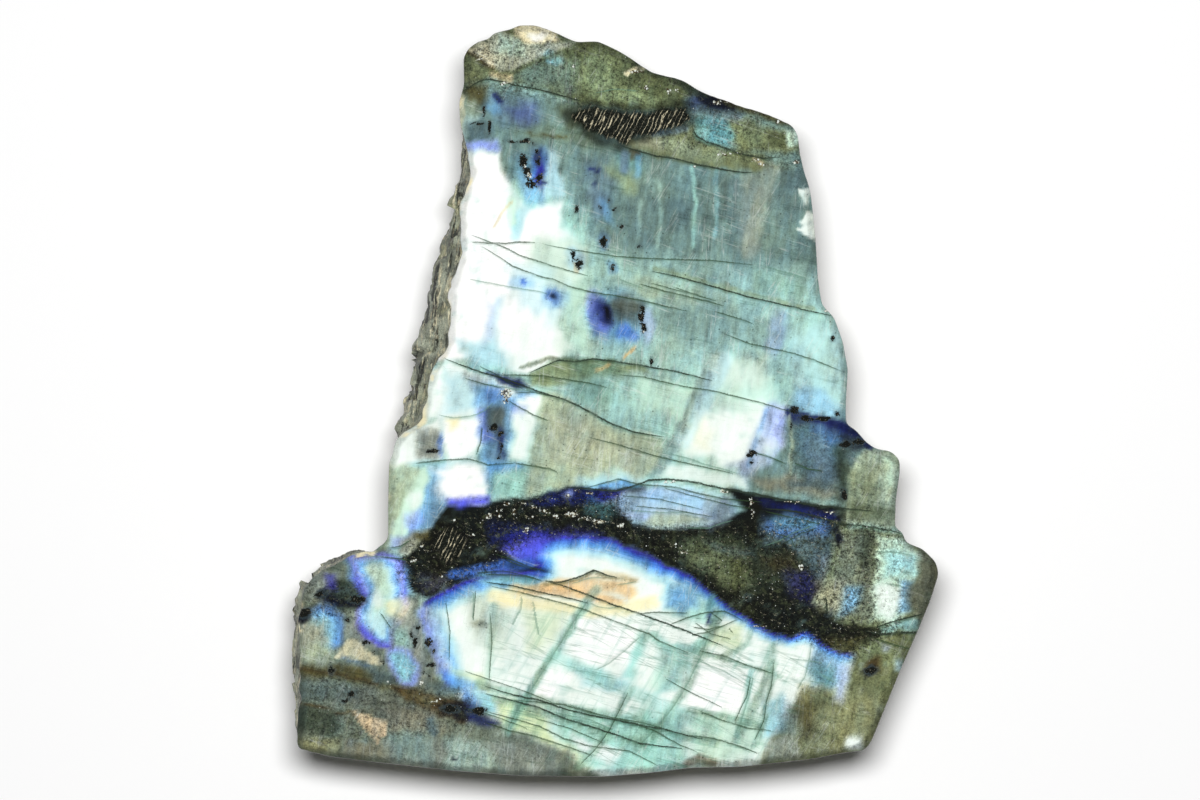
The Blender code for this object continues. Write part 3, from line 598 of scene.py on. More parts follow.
    ("moss", 1.6, 0.7, [12, -28, 24, -27.6, 28, -34, 28, -38.4, 22, -37, 15, -33]),
    ("olive", 1.4, 0.5, [15, -30, 21, -30, 24, -35, 21, -36.4, 16, -33]),
    ("slate", 1.0, 0.6, [18, -28, 27, -29.6, 28, -31.6, 20, -30]),
    ("umber", 1.4, 0.5, [29, -31, 36, -31, 38, -34, 31, -34]),
    ("indigo", 1.6, 0.35, [34, -34, 40, -34, 40, -40, 35, -39]),
    ("dusk", 1.4, 0.5, [-39, -34.6, -32, -35, -34, -38, -38, -38.8]),
    ("bark", 0.8, 0.9, [-40, -26.8, -36.8, -25.8, -36.6, -27.6, -39.4, -28.2]),
    ("periwinkle", 0.9, 0.6, [-44.6, -26.8, -42, -27, -43, -29, -45, -29.6]),
    ("steel", 0.9, 0.6, [-43.6, -31.6, -41.6, -33, -41, -36, -43, -36]),
    ("teal", 1.2, 0.5, [-5, -19.4, 0, -20, 1, -22.6, -3, -24, -6, -22]),
    ("haze", 1.5, 1.0, [-1, -20.2, 5, -17.4, 13, -17.2, 18, -18.8, 23, -19.8, 23.6, -22.6, 20, -25,
        10, -25.2, 4, -24.2, 2, -21.6]),
    ("steel", 1.0, 0.7, [-1, -20, 5, -18, 7, -20, 5, -24, 2, -22]),
    ("sky", 1.2, 0.5, [6, -18, 14, -18, 19, -20.4, 20, -22, 13, -21.4, 7, -20.4]),
    ("sage", 0.8, 0.8, [8, -22.4, 15, -22.6, 20, -24.2, 10, -25.2, 6, -24.4]),
    ("ice", 2.2, 0.5, [2, -19, 12, -18, 20, -20, 21, -22, 12, -23, 4, -22]),
    ("steel", 1.4, 0.7, [19, -20, 24, -20.4, 23, -24, 18, -24]),
    ("sky", 0.5, 0.9, [-3, -16.8, 1, -15.8, 5.4, -16.8, 1, -17.6, -6, -17.4]),
    ("ice", 0.5, 0.9, [10, -16.2, 20, -17.8, 22, -19.2, 16, -18, 9, -17]),
    ("navy", 0.8, 0.95, [28, -19.4, 36, -20.4, 44, -22, 45, -24.2, 38, -22.8, 30, -21]),
    ("slate", 1.2, 1.0, [29, -24, 34, -22.2, 42, -24.2, 44.6, -28, 44.6, -33, 43, -36, 40.6, -36, 38, -31,
        34, -28.6, 30, -29]),
    ("blue", 1.6, 0.55, [30, -23, 36, -22.6, 43, -24.6, 42, -27, 34, -27, 30, -26]),
    ("haze", 1.4, 0.35, [40.6, -31, 43.4, -31, 43.6, -35, 41, -36]),
    ("teal", 0.9, 0.5, [31, -22.8, 41, -24, 40, -26, 32, -25.4]),
    # the bright lens under the vein
    ("flash", 0.5, 1.0, [-22, -30.6, -18, -28.6, -14, -27.6, -10, -26.8, -5, -26.6, 0, -27.6, 3, -29,
        7, -30.8, 10, -32.6, 13, -33.5, 15, -35, 17, -36.5, 20, -39.3, 24, -41.8, 28, -44.5, 32, -46.5,
        35, -47, 38, -46.2, 40, -47.2, 42, -49, 45, -50.2, 60, -52, 60, -80, -40, -84, -58, -70,
        -33.8, -56.4, -34.6, -52, -36.6, -47.6, -38.4, -43.6, -38, -40.4, -34, -38, -30, -36, -26, -34.4,
        -19, -34.2, -15, -33.0, -18, -32.0]),
    ("periwinkle", 0.7, 0.95, [-39.2, -41, -36.4, -41, -34.4, -47, -33, -54, -35.4, -55, -37.4, -48,
        -39, -44]),
    ("ice", 1.2, 0.8, [-37.4, -41, -35.4, -41, -33, -49, -32, -54, -34, -53, -36.4, -46]),
    ("iris", 1.2, 0.9, [-22.6, -29.8, -17, -27.6, -13, -27.4, -14.6, -30.6, -15.4, -33, -18, -32.4]),
    ("iris", 0.8, 0.8, [-29, -34, -24, -33.2, -18, -34, -14.6, -34.8, -19, -35.2, -26, -35.2]),
    ("ink", 0.5, 0.9, [-27, -32.6, -24, -30.6, -20.4, -31.6, -17, -33.2, -13, -33.9, -18, -34, -24, -33.2]),
    ("cyan", 0.7, 0.9, [-28, -35.6, -20, -35, -15.6, -35.6, -17, -36.8, -26, -36.6]),
    ("sage", 2.4, 0.4, [-29, -38, -23, -38, -20, -42, -22, -50, -28, -47]),
    ("cream", 1.2, 0.6, [-23.4, -37.4, -18.6, -38.4, -19, -41, -22.6, -41]),
    ("lime", 2.2, 0.5, [-18, -41, -9, -42, -12, -48, -17, -50]),
    ("lime", 0.8, 0.6, [-34, -53, -26, -55, -24, -58.4, -30, -57]),
    ("sky", 1.0, 0.7, [-34.6, -53.6, -28, -56.4, -26, -58, -33, -58]),
    ("cyan", 1.0, 0.8, [-30, -58, -24, -58.6, -24, -62.6, -29, -62]),
    ("lime", 1.0, 0.9, [-24, -59, -14, -61.6, -12, -68.6, -22, -65.4]),
    ("aqua", 1.6, 0.9, [-13, -61, 0, -63, 6, -62, 14, -63, 14, -74, -4, -74, -12, -66]),
    ("lime", 1.4, 0.6, [-16, -66, -8, -69, -4, -74, -12, -73]),
    ("white", 0.9, 0.8, [-9, -66.6, -3, -68.6, 2, -70, -1, -73, -7, -70]),
    ("mint", 2.0, 0.9, [14, -63, 30, -62, 31, -70, 16, -74]),
    ("aqua", 1.0, 0.8, [5, -46.4, 7.6, -46.8, 3.6, -56, 1.6, -55]),
    ("aqua", 1.2, 0.8, [8, -48, 16, -50, 17, -48.6, 13, -57, 8, -58.6, 9.6, -51]),
    ("mint", 1.2, 0.8, [10, -51.6, 13, -51.4, 9, -58, 6, -57]),
    ("aqua", 1.4, 0.8, [9.6, -36, 16, -38, 21, -42, 21, -45, 16, -44, 10, -42]),
    ("sky", 1.2, 0.6, [10, -36, 17, -38, 17, -41, 11, -41]),
    ("cyan", 1.4, 0.7, [-9, -52.4, -4, -53.4, 2, -56.6, -1, -58, -6, -56]),
    ("white", 1.0, 1.0, [16, -51.8, 27, -55, 25, -62.4, 15, -61.4, 14.4, -57]),
    ("white", 1.0, 1.0, [-19, -59, -15.6, -54.6, -12, -54, -8.6, -54.6, -12.6, -60.4]),
    ("white", 1.4, 0.8, [-7, -43, 4, -46, 3, -52, -4, -53, -9, -50.6]),
    ("lime", 1.2, 0.6, [20, -44.6, 26, -45, 25, -49.6, 19, -48.4]),
    ("milk", 1.2, 0.9, [3, -36, 9.4, -37, 9.4, -41.6, 4, -41.6]),
    ("sky", 1.0, 0.6, [40, -50, 46, -51, 46, -56, 42, -58, 39, -54]),
    # the dark block and the pale nose on the right
    ("grey teal", 0.8, 1.0, [26.4, -14.8, 31.4, -12.6, 34, -9, 35, -2.2, 40, -3, 46, -4.4, 50, -7.4,
        53, -10, 48, -12, 46.6, -16, 46.4, -21, 36, -19.4, 27, -18]),
    ("taupe", 1.0, 0.7, [27, -15.4, 35, -14.6, 44, -16, 46, -19.8, 30, -17.8]),
    ("slate", 2.0, 0.95, [35.6, -3, 46, -4.8, 50, -8.6, 46, -17, 38, -16.6, 36, -8]),
    ("teal", 2.0, 0.6, [37, -5, 45, -6, 45, -12, 38, -11]),
    ("steel", 1.2, 0.5, [40, -11, 45, -11, 45, -16, 39, -16]),
    ("navy", 1.2, 0.8, [34.6, -1.6, 40, -3, 46, -4, 50, -8, 46, -7, 40, -4.6, 36, -4]),
    ("blue", 1.4, 0.5, [39.6, -5, 45, -5.4, 46, -8, 42, -9.6]),
    ("steel", 1.2, 0.7, [37.4, -6, 41, -6.4, 44, -11, 41, -13, 38, -11]),
    ("ink", 0.8, 0.6, [45, -6.4, 50, -8, 50, -9.6, 46, -9.4]),
    ("slate", 0.6, 0.7, [34, -16, 43, -16.2, 44, -17.6, 35, -17.4]),
    ("bottle", 1.4, 0.9, [44, -9.4, 46.6, -9.6, 47, -21, 44.6, -20]),
    ("sage", 0.7, 1.0, [50.4, -9.8, 55, -9.2, 59, -12, 58, -25.4, 46, -24.2, 47, -16, 48, -12]),
    ("olive", 1.6, 0.5, [46.6, -13, 52, -13, 54, -24, 46.6, -23.6]),
    ("mint", 1.2, 0.7, [52.4, -10, 56.4, -10.4, 57.6, -17, 55.4, -17, 54.4, -12]),
    ("moss", 0.9, 0.6, [47, -20.6, 56, -21.6, 56, -23.4, 47, -23.6]),
    # the lower right
    ("olive", 1.0, 1.0, [44.6, -25, 58, -26, 62, -29, 66, -33, 66, -38, 56, -74, 29, -74, 31.6, -67,
        34, -64, 36.6, -59.6, 38.6, -56.4, 40, -58, 44, -58, 44.4, -60, 46.2, -60, 47.4, -53, 48, -50,
        52, -47.6, 53, -45.6, 46, -44.4, 40.4, -40, 42, -36.4]),
    ("lichen", 1.4, 0.9, [45, -26, 52, -26.6, 52, -44, 44, -43, 44, -36]),
    ("beige", 1.4, 0.6, [40, -36.4, 46, -36, 45, -42, 41, -42]),
    ("sky", 1.0, 0.6, [46.4, -37.4, 50, -37.6, 48, -41.4, 45, -43]),
    ("bottle", 1.2, 0.6, [49.4, -25.4, 52, -26.4, 51, -34, 49, -33]),
    ("mint", 0.8, 1.0, [52.6, -26.8, 57.8, -27.2, 61.6, -31, 60.6, -35, 58.4, -37, 59.4, -42, 55.6, -44.6,
        52, -43.6, 51.4, -38, 52.6, -33]),
    ("cyan", 1.8, 0.7, [55, -30.4, 61.6, -31, 60.6, -35, 55, -35]),
    ("milk", 0.9, 0.8, [52.6, -36.6, 57.6, -37, 58, -40, 55.4, -43.6, 52.4, -42.4, 52, -38]),
    ("sky", 0.8, 0.8, [57.8, -36, 60, -36.2, 59.4, -42, 57.4, -42]),
    ("stone grey", 1.2, 0.8, [60.8, -29.4, 66, -33, 65, -38, 61, -45, 59.4, -42, 58.6, -38, 61.2, -35]),
    ("cyan", 0.8, 0.7, [53.4, -45.2, 58, -43.8, 61.4, -43.6, 60.6, -46, 54, -46.2]),
    ("pitch", 0.9, 0.9, [38, -45.4, 46, -45.4, 53, -45.8, 53, -47, 46, -47.4, 40, -47]),
    ("bark", 1.0, 0.8, [42, -47.4, 50, -47.4, 48.4, -50, 45, -50.4]),
    ("leaf", 2.0, 0.5, [48, -48, 60, -48, 58, -53, 50, -52]),
    ("khaki", 2.4, 0.6, [38, -62, 52, -58, 54, -66, 44, -72, 37, -71]),
    ("bark", 1.2, 0.7, [37, -57, 40, -58.6, 40, -66, 37.6, -68, 36.4, -62]),
    ("teal", 1.4, 0.7, [40, -52, 43.4, -52.6, 43.4, -57.4, 40.6, -57.6, 39, -55]),
    ("haze", 1.0, 0.8, [44.8, -53, 47, -52.6, 47, -56, 46, -60.2, 44.2, -59.6]),
    ("khaki", 0.9, 0.5, [37, -56.6, 44, -57.4, 43, -59.4, 37.6, -60.4]),
    ("cyan", 1.2, 0.7, [30, -60, 33.6, -59, 34, -66, 30, -67]),
    ("steel", 1.6, 0.5, [33.6, -59.6, 36.6, -60.6, 36.8, -67, 31.6, -67]),
    ("grey", 1.0, 0.7, [30, -68, 36, -67, 37.4, -71, 31, -72]),
    ("milk", 0.8, 1.0, [46.4, -67.2, 49.6, -67, 50, -69.4, 46, -69.8]),
    ("ice", 0.5, 0.9, [56, -51.6, 57.6, -51.6, 57.4, -53.8, 56, -53.8]),
    ("haze", 0.7, 0.7, [53.6, -48.6, 55.2, -48.6, 55, -50.4, 53.6, -50.4]),
    # the lower left lobe
    ("lichen", 1.0, 1.0, [-46, -29.2, -43.8, -31.4, -43.4, -34, -41.8, -37.4, -38.6, -39.4, -39.2, -43,
        -37.8, -47.6, -35.8, -52, -34, -57, -28, -60.6, -24, -63.6, -20, -66, -16, -67.4, -10, -70, -6, -73,
        0, -77, -66, -77, -68, -36, -56, -29]),
    ("grey", 1.4, 0.7, [-64, -36, -58, -33, -55, -35, -57, -39, -60, -40, -64, -41]),
    ("grey", 1.2, 0.9, [-43, -39, -39.8, -40, -39.6, -44, -38.2, -49, -36.8, -55, -38, -57, -40.6, -50,
        -50, -49, -54, -45, -51, -42]),
    ("sky", 1.2, 0.95, [-54, -30, -44, -31, -42, -34, -41, -38.6, -44, -41, -49, -41, -52.6, -36]),
    ("mint", 0.9, 0.9, [-51, -31, -44.6, -31.5, -43.6, -37, -46.4, -39, -49.4, -38, -50.6, -34]),
    ("lime", 0.9, 0.7, [-50, -31, -47, -31.5, -46.4, -36, -48.6, -38, -49.4, -35]),
    ("short flash", 0.7, 1.0, [-53.4, -31, -51.8, -35, -50, -38, -51.2, -41.6, -51.4, -44.6, -49.8, -47.4,
        -47, -49.2, -44, -49, -43.8, -46, -42.4, -44, -41, -41, -42, -37, -42.6, -32, -46, -30.4]),
    ("sage", 1.2, 0.6, [-50, -31.5, -47, -31.5, -45.6, -36, -47.6, -38, -49, -35]),
    ("ice", 1.4, 0.8, [-50, -43, -46.6, -42.4, -45.4, -45, -46.6, -47.6, -49, -46.4]),
    ("ash", 1.4, 0.8, [-45, -43.6, -40, -41, -39, -44, -41, -46, -44.4, -45.6]),
    ("aqua", 1.0, 0.7, [-44.6, -45, -41.4, -45.6, -40.6, -49, -43.6, -49.8]),
    ("periwinkle", 0.7, 1.0, [-45.4, -49.8, -43.4, -48.8, -40.6, -50, -38.6, -54, -39.4, -57, -42, -57.4,
        -44.4, -54.8, -45.4, -52]),
    ("cyan", 0.8, 1.0, [-44.8, -50.6, -43, -49.8, -41, -51, -39.8, -54, -40.6, -56, -42, -56, -43.8, -54,
        -44.6, -52]),
    ("iris", 0.6, 0.8, [-51.2, -45.4, -49.6, -47.6, -46, -49.2, -44.4, -49.6, -45, -48.4, -48, -47.4,
        -50.2, -44.8]),
    ("bottle", 0.9, 0.95, [-56.4, -36.4, -53.4, -35.6, -50.6, -37.4, -49.8, -40, -51.6, -42, -56, -41.6,
        -57.6, -39.6]),
    ("slate", 1.2, 0.5, [-56, -37, -52, -36.6, -52, -39.4, -55.6, -39.4]),
    ("iris", 0.6, 0.7, [-52.6, -35, -51, -35.6, -49.4, -38.6, -50, -40, -51.6, -37.2]),
    ("indigo", 0.7, 0.8, [-58, -34.6, -56, -34.8, -55.4, -38, -57.6, -37.6]),
    ("ink", 0.5, 0.95, [-59.6, -38, -58, -37.4, -57, -38.4, -55, -40, -50.6, -40.6, -50.6, -41.6,
        -55, -41.2, -58, -40, -59.6, -39.4]),
    ("blue", 0.9, 0.6, [-60.6, -41.8, -58.4, -40.2, -56, -41, -54.2, -43, -54.4, -48, -56, -49.4,
        -60, -44]),
    ("sky", 1.0, 0.75, [-60.6, -42.6, -58.4, -41.6, -56.2, -42.4, -55.2, -44.4, -55.2, -48, -57, -50,
        -61, -46]),
    ("cyan", 0.8, 0.8, [-60.6, -43.4, -58, -42.8, -56.4, -44, -56, -47, -58, -50, -61, -48]),
    ("ash", 1.4, 1.0, [-62.8, -45, -60, -43.8, -57.6, -44.6, -57, -47.4, -58.6, -50, -62.8, -49.6]),
    ("sage", 1.4, 0.8, [-63, -49.6, -57, -49, -56, -51.6, -62.8, -52.6]),
    ("ink", 0.5, 0.95, [-63.4, -41.4, -60.4, -41.4, -60.6, -43.2, -62.2, -44.4, -63.4, -44.4]),
    ("beige", 0.25, 1.0, [-54.7, -49.6, -53.6, -47.6, -52.4, -47.2, -50.4, -48.4, -49.6, -50, -46.6, -51.6,
        -46.4, -52.8, -48.8, -52.6, -51.6, -51.6, -56.3, -51.7]),
    ("steel", 0.4, 0.8, [-54.6, -50.8, -49.4, -52.4, -48, -53.6, -50, -53.4, -54.4, -51.4]),
    ("bark", 0.9, 0.9, [-63.4, -52.8, -57, -53.6, -52, -52.6, -46, -55.4, -44, -57.6, -48, -57.6,
        -55, -55.6, -63.4, -54.6]),
    ("slate", 1.2, 0.5, [-63, -55.8, -54, -56.6, -50, -58.6, -56, -60.4, -63, -59.4]),
    ("slate", 0.9, 0.8, [-50, -53.6, -44.6, -54.6, -42.6, -56.8, -48, -57]),
    ("stone grey", 1.8, 0.8, [-50, -57.6, -44, -59, -36, -62, -36, -65, -52, -62.6, -54, -59.6]),
    ("umber", 0.7, 1.0, [-44.6, -57, -38, -58, -34, -59.4, -29, -60, -27.6, -62.6, -30, -64.4, -35, -63,
        -39, -60.8, -43, -58.8]),
    ("khaki", 0.9, 0.5, [-42, -58.2, -38, -58.8, -35, -60, -38, -60.6]),
    ("ink", 0.9, 0.8, [-35, -61, -29.6, -60, -28, -62.6, -30.6, -63.8, -34.4, -62.6]),
    ("slate", 0.9, 0.7, [-38, -56, -33.6, -56, -31.6, -58.6, -35, -59]),
    ("blue", 0.8, 0.6, [-30.6, -57.6, -28.4, -58.6, -26, -61.6, -28.6, -61.6]),
    ("navy", 0.8, 0.8, [-30, -61, -27, -62, -22.6, -64.6, -25, -65.2, -29, -63.8]),
    ("bottle", 1.2, 0.7, [-63.4, -60.8, -55, -61.8, -54.4, -65, -57, -67, -63.4, -66]),
    ("taupe", 1.4, 0.6, [-45, -61.6, -36, -62, -33, -66, -36, -67, -45, -66]),
    ("khaki", 0.9, 0.8, [-63, -67.8, -55.4, -67.8, -54.8, -70.4, -62, -70.2]),
    ("taupe", 1.0, 0.6, [-54, -68, -46, -68.4, -46, -71, -54, -71]),
    ("grey", 1.4, 0.6, [-46, -67, -12, -69, -10, -77, -46, -75]),
    ("grey teal", 1.2, 0.6, [-45, -66.4, -37, -66, -36, -72, -44, -72]),
    ("pale teal", 1.4, 0.5, [-34, -67.6, -27, -68, -22, -74, -34, -74]),
    ("slate", 0.5, 0.8, [-37.6, -63.2, -35.8, -63, -34.8, -66, -36, -67.2, -37.6, -66]),
    ("clay", 0.3, 1.0, [-52.8, -61.8, -45.4, -63.9, -45.7, -66.9, -46.5, -67, -46.9, -68.9, -50.4, -65.3]),
]

# Small spots: shade, strength, middle, half length along x and y, turn in degrees
SPOTS = [
    ("white", 0.8, -15.0, 73.0, 2.0, 1.0, 0), ("cyan", 0.8, -12.3, 68.6, 1.8, 1.1, -15),
    ("sky", 0.6, -17.4, 45.0, 2.6, 4.6, 20), ("blue", 0.7, -15.2, 46.4, 1.7, 4.6, 6),
    ("indigo", 0.9, -14.9, 45.8, 0.9, 2.8, 6), ("navy", 0.85, -15.4, 48.8, 0.8, 1.8, 4),
    ("sky", 0.5, -15.8, 41.0, 1.6, 2.2, 30), ("navy", 0.7, -13.4, 44.2, 0.8, 0.4, 0),
    ("navy", 0.8, -23.2, 60.4, 1.0, 0.8, 0), ("sky", 0.5, -24.4, 58.6, 1.4, 1.8, 30),
    ("navy", 0.75, -4.0, 46.5, 1.0, 0.6, -20), ("navy", 0.7, -2.8, 45.7, 0.6, 0.5, 0),
    ("navy", 0.5, -3.8, 43.4, 0.6, 0.8, 0), ("umber", 0.6, 4.0, 48.8, 0.6, 0.9, 0),
    ("steel", 0.5, -3.4, 40.5, 2.0, 3.0, 20), ("sky", 0.4, -1.6, 37.6, 1.0, 3.0, 20),
    ("sky", 0.5, -12.0, 20.8, 2.8, 2.4, 0), ("blue", 0.8, -12.1, 20.9, 1.6, 1.5, 0),
    ("ink", 0.9, -12.0, 20.9, 0.8, 0.7, 0), ("sky", 0.4, -18.6, 23.4, 3.0, 1.6, 0),
    ("blue", 0.8, -17.7, 23.8, 0.8, 0.9, 0), ("sky", 0.35, -7.8, 28.2, 2.0, 2.4, 0),
    ("sky", 0.5, -0.6, 26.4, 1.2, 1.6, 0), ("blue", 0.35, -2.2, 32.2, 1.2, 1.8, 0),
    ("sky", 0.7, 0.6, 16.8, 6.2, 5.6, -12), ("iris", 0.6, -3.0, 17.4, 1.9, 4.8, 14),
    ("slate", 0.95, 1.8, 18.0, 4.2, 3.0, -10), ("stone grey", 0.6, 3.0, 19.0, 3.0, 2.2, -20),
    ("navy", 0.8, -1.8, 18.0, 1.6, 3.0, 14), ("ink", 0.95, -1.5, 17.6, 0.8, 2.0, 10),
    ("blue", 0.7, 2.4, 13.4, 2.4, 1.6, -30), ("haze", 0.7, 6.8, 15.0, 1.6, 3.6, 0),
    ("periwinkle", 0.4, 32.4, 13.6, 2.0, 5.0, -14), ("slate", 0.9, -23.6, -3.8, 1.9, 2.6, 0),
    ("stone grey", 0.5, -22.8, -4.2, 1.4, 2.2, 0), ("navy", 0.7, -22.6, -8.0, 1.0, 3.0, 0),
    ("grey", 0.95, -37.4, -8.4, 2.6, 3.4, 0), ("blue", 0.6, -35.0, -8.6, 0.8, 2.6, 0),
    ("sky", 0.5, 12.6, -40.0, 3.0, 2.4, 0), ("navy", 0.85, 19.0, -43.4, 0.7, 1.3, -14),
    ("teal", 0.8, 19.2, -40.6, 0.8, 2.0, -10), ("umber", 0.9, 51.6, -53.2, 2.0, 1.8, 0),
    ("ink", 0.8, 51.0, -54.0, 1.4, 1.0, 0), ("haze", 0.6, 3.4, -22.8, 1.6, 1.0, -10),
    ("periwinkle", 0.7, -9.2, -19.0, 0.9, 0.8, 0), ("ink", 0.95, 44.6, -27.0, 1.0, 2.2, 8),
    ("butter", 0.7, -43.2, -41.4, 2.8, 2.4, 0), ("milk", 0.7, -47.2, -39.6, 1.2, 2.0, 0),
    ("olive", 0.4, -26.8, -44.8, 1.6, 0.8, -20), ("ink", 0.8, -31.8, -71.3, 0.5, 0.4, 0),
    ("olive", 0.6, 22.6, 22.6, 1.6, 1.2, 0),
]

# Soft strokes: shade, strength, half width, points
BANDS = [
    ("umber", 0.7, 0.5, [-29.5, 69.9, -26.5, 68, -24.3, 66.4]),
    ("cream", 0.6, 0.4, [-29.2, 70.6, -26.2, 68.8, -24, 67.1]),
    ("moss", 0.7, 0.5, [-19.5, 66, -14.5, 68.3, -9.4, 70.2]),
    ("bottle", 0.8, 0.9, [5, 67, 12, 65, 15, 62.6, 18, 61.4]),
    ("cream", 0.9, 0.4, [2.5, 65.5, 3.5, 66.2, 6, 66.7]),
    ("bark", 0.6, 0.35, [-17, 53.4, -13.5, 53, -9.5, 52.6]),
    ("pale teal", 0.5, 0.5, [9, 44, 9.2, 38, 8.6, 31]), ("aqua", 0.8, 0.4, [15.6, 47, 16.3, 40, 16, 31]),
    ("cyan", 0.4, 0.5, [20.4, 46, 20.6, 38, 20.2, 33]), ("pale teal", 0.4, 0.5, [5.2, 40, 5, 35, 4.6, 30]),
    ("ash", 0.55, 1.8, [31.4, 46, 29.6, 40, 28.4, 35, 27, 30]), ("steel", 0.8, 0.9, [2.3, 49.4, 2.2, 46]),
    ("sky", 0.45, 0.7, [5, 49.4, 4.8, 45.4]), ("umber", 0.7, 0.5, [3.6, 50.2, 5, 49.4]),
    ("cyan", 0.5, 1.1, [-15.5, 42, -17, 39.5, -19, 36.5, -19.8, 33]),
    ("mint", 0.7, 0.8, [-20.5, 40, -20.3, 36]), ("sand", 0.5, 0.25, [-20.5, 39.5, -22.5, 37.5, -24, 35]),
    ("sand", 0.8, 0.4, [28, 48.3, 29.5, 47.4]), ("sand", 0.6, 0.4, [-8, 27.4, -7.6, 25.8]),
    ("peach", 0.8, 0.35, [4, 10.5, 2, 8.5]), ("peach", 0.7, 0.35, [-1, 7.5, -3.5, 6]),
    ("grey teal", 0.75, 1.3, [18.5, 5, 15, -3, 11.5, -9.5, 8.5, -14.5]),
    ("haze", 0.6, 1.6, [31.6, -1.5, 29, -8, 27, -14]), ("sky", 0.35, 0.5, [30.6, -2, 28, -9, 27, -13]),
    ("ice", 0.6, 1.6, [22, 8, 18, 0, 14, -8]), ("steel", 0.7, 0.8, [8, 53.5, 11.6, 53.8, 14, 54.6]),
    ("navy", 0.9, 0.9, [35.2, -2.4, 40, -3.5, 45, -4.5, 48.6, -6.6, 51, -9]),
    ("peach", 0.7, 1.1, [-20, -37.6, -14, -37.6, -8, -38.4, -3, -39.4, 1, -40.4]),
    ("peach", 0.65, 1.3, [-14, -37, -8, -36.8, -3, -36.8, 2, -37.4, 3.4, -38.4]),
    ("sand", 0.5, 0.8, [-6, -35.4, -1, -34.6, 4, -36]),
    ("ochre", 0.45, 0.35, [-14, -36.5, -11, -36.7, -7, -35.6, -4, -34.2, -1, -35.3, 4, -36]),
    ("butter", 0.7, 1.4, [-24, -39, -14, -40.6, -6, -42, 2, -41.6, 8, -40]),
    ("blue", 0.8, 1.2, [-32, -34.6, -24, -33.4, -17, -32.4]),
    ("teal", 0.7, 0.7, [-27, -34.6, -22, -35.2, -16, -35.8]),
    ("aqua", 0.5, 1.1, [-5.5, -40.5, -8, -44, -12, -50.5, -16, -57, -18.5, -60.5, -21.5, -66]),
    ("jade", 0.45, 0.8, [-3.4, -37.5, -8, -44, -12, -50.5, -16, -57, -18.5, -60.5, -21.5, -66]),
    ("jade", 0.5, 0.9, [3, -58, 1, -62, -1, -66, -4, -70, -7, -73]),
    ("jade", 0.5, 1.0, [21, -42.6, 19, -47, 17.5, -51, 14.5, -57, 12, -61, 9, -65, 5, -69]),
    ("aqua", 0.5, 1.5, [-12, -51, -5, -54.2, 3, -58, 12, -62, 20, -65.5]),
    ("aqua", 0.7, 1.0, [8, -47, 11, -49.5, 16, -50, 18, -48]),
    ("jade", 0.5, 0.6, [31.8, -52, 31.5, -57, 30.5, -60, 30, -64, 28, -69]),
    ("jade", 0.5, 0.5, [16, -50, 22, -51.4, 27, -53, 33, -55]),
    ("jade", 0.45, 0.7, [15, -61.6, 22, -63.4, 29, -65]),
    ("aqua", 0.7, 0.6, [27.4, -54, 26.6, -60, 24.6, -67]),
    ("jade", 0.5, 0.9, [-27, -56.6, -16, -59.6, -4, -62.6, 10, -65.8, 20, -68.4]),
    ("jade", 0.45, 0.9, [-24, -59.6, -14, -62, -4, -65.4, 6, -69]),
    ("jade", 0.3, 0.8, [-24, -41, -24.7, -48, -25, -56]),
    ("taupe", 0.9, 0.9, [14.6, -72.6, 17, -71.4, 20, -72.4]),
    ("umber", 0.7, 0.3, [-63, -60.5, -59, -61, -54, -62.4, -52, -62.6]),
    ("umber", 0.6, 0.35, [-63, -53.4, -57, -54.4, -52, -55.6, -47, -57]),
    ("jade", 0.5, 0.9, [31.8, -49, 30.8, -54, 29, -59, 26.6, -64, 24.6, -68]),
    ("jade", 0.4, 0.7, [27.4, -46, 26.8, -48.6, 22, -51]),
    ("fern", 0.5, 0.4, [-18.4, 7, -13, 8.4, -8, 8.4, 0, 8]),
    ("sage", 0.6, 0.4, [35.2, -3, 35.6, -9, 35.2, -15]),
    ("leaf", 0.5, 0.5, [8, 26.4, 14, 25, 22, 22.6, 30, 20.6, 40, 18.4]),
]

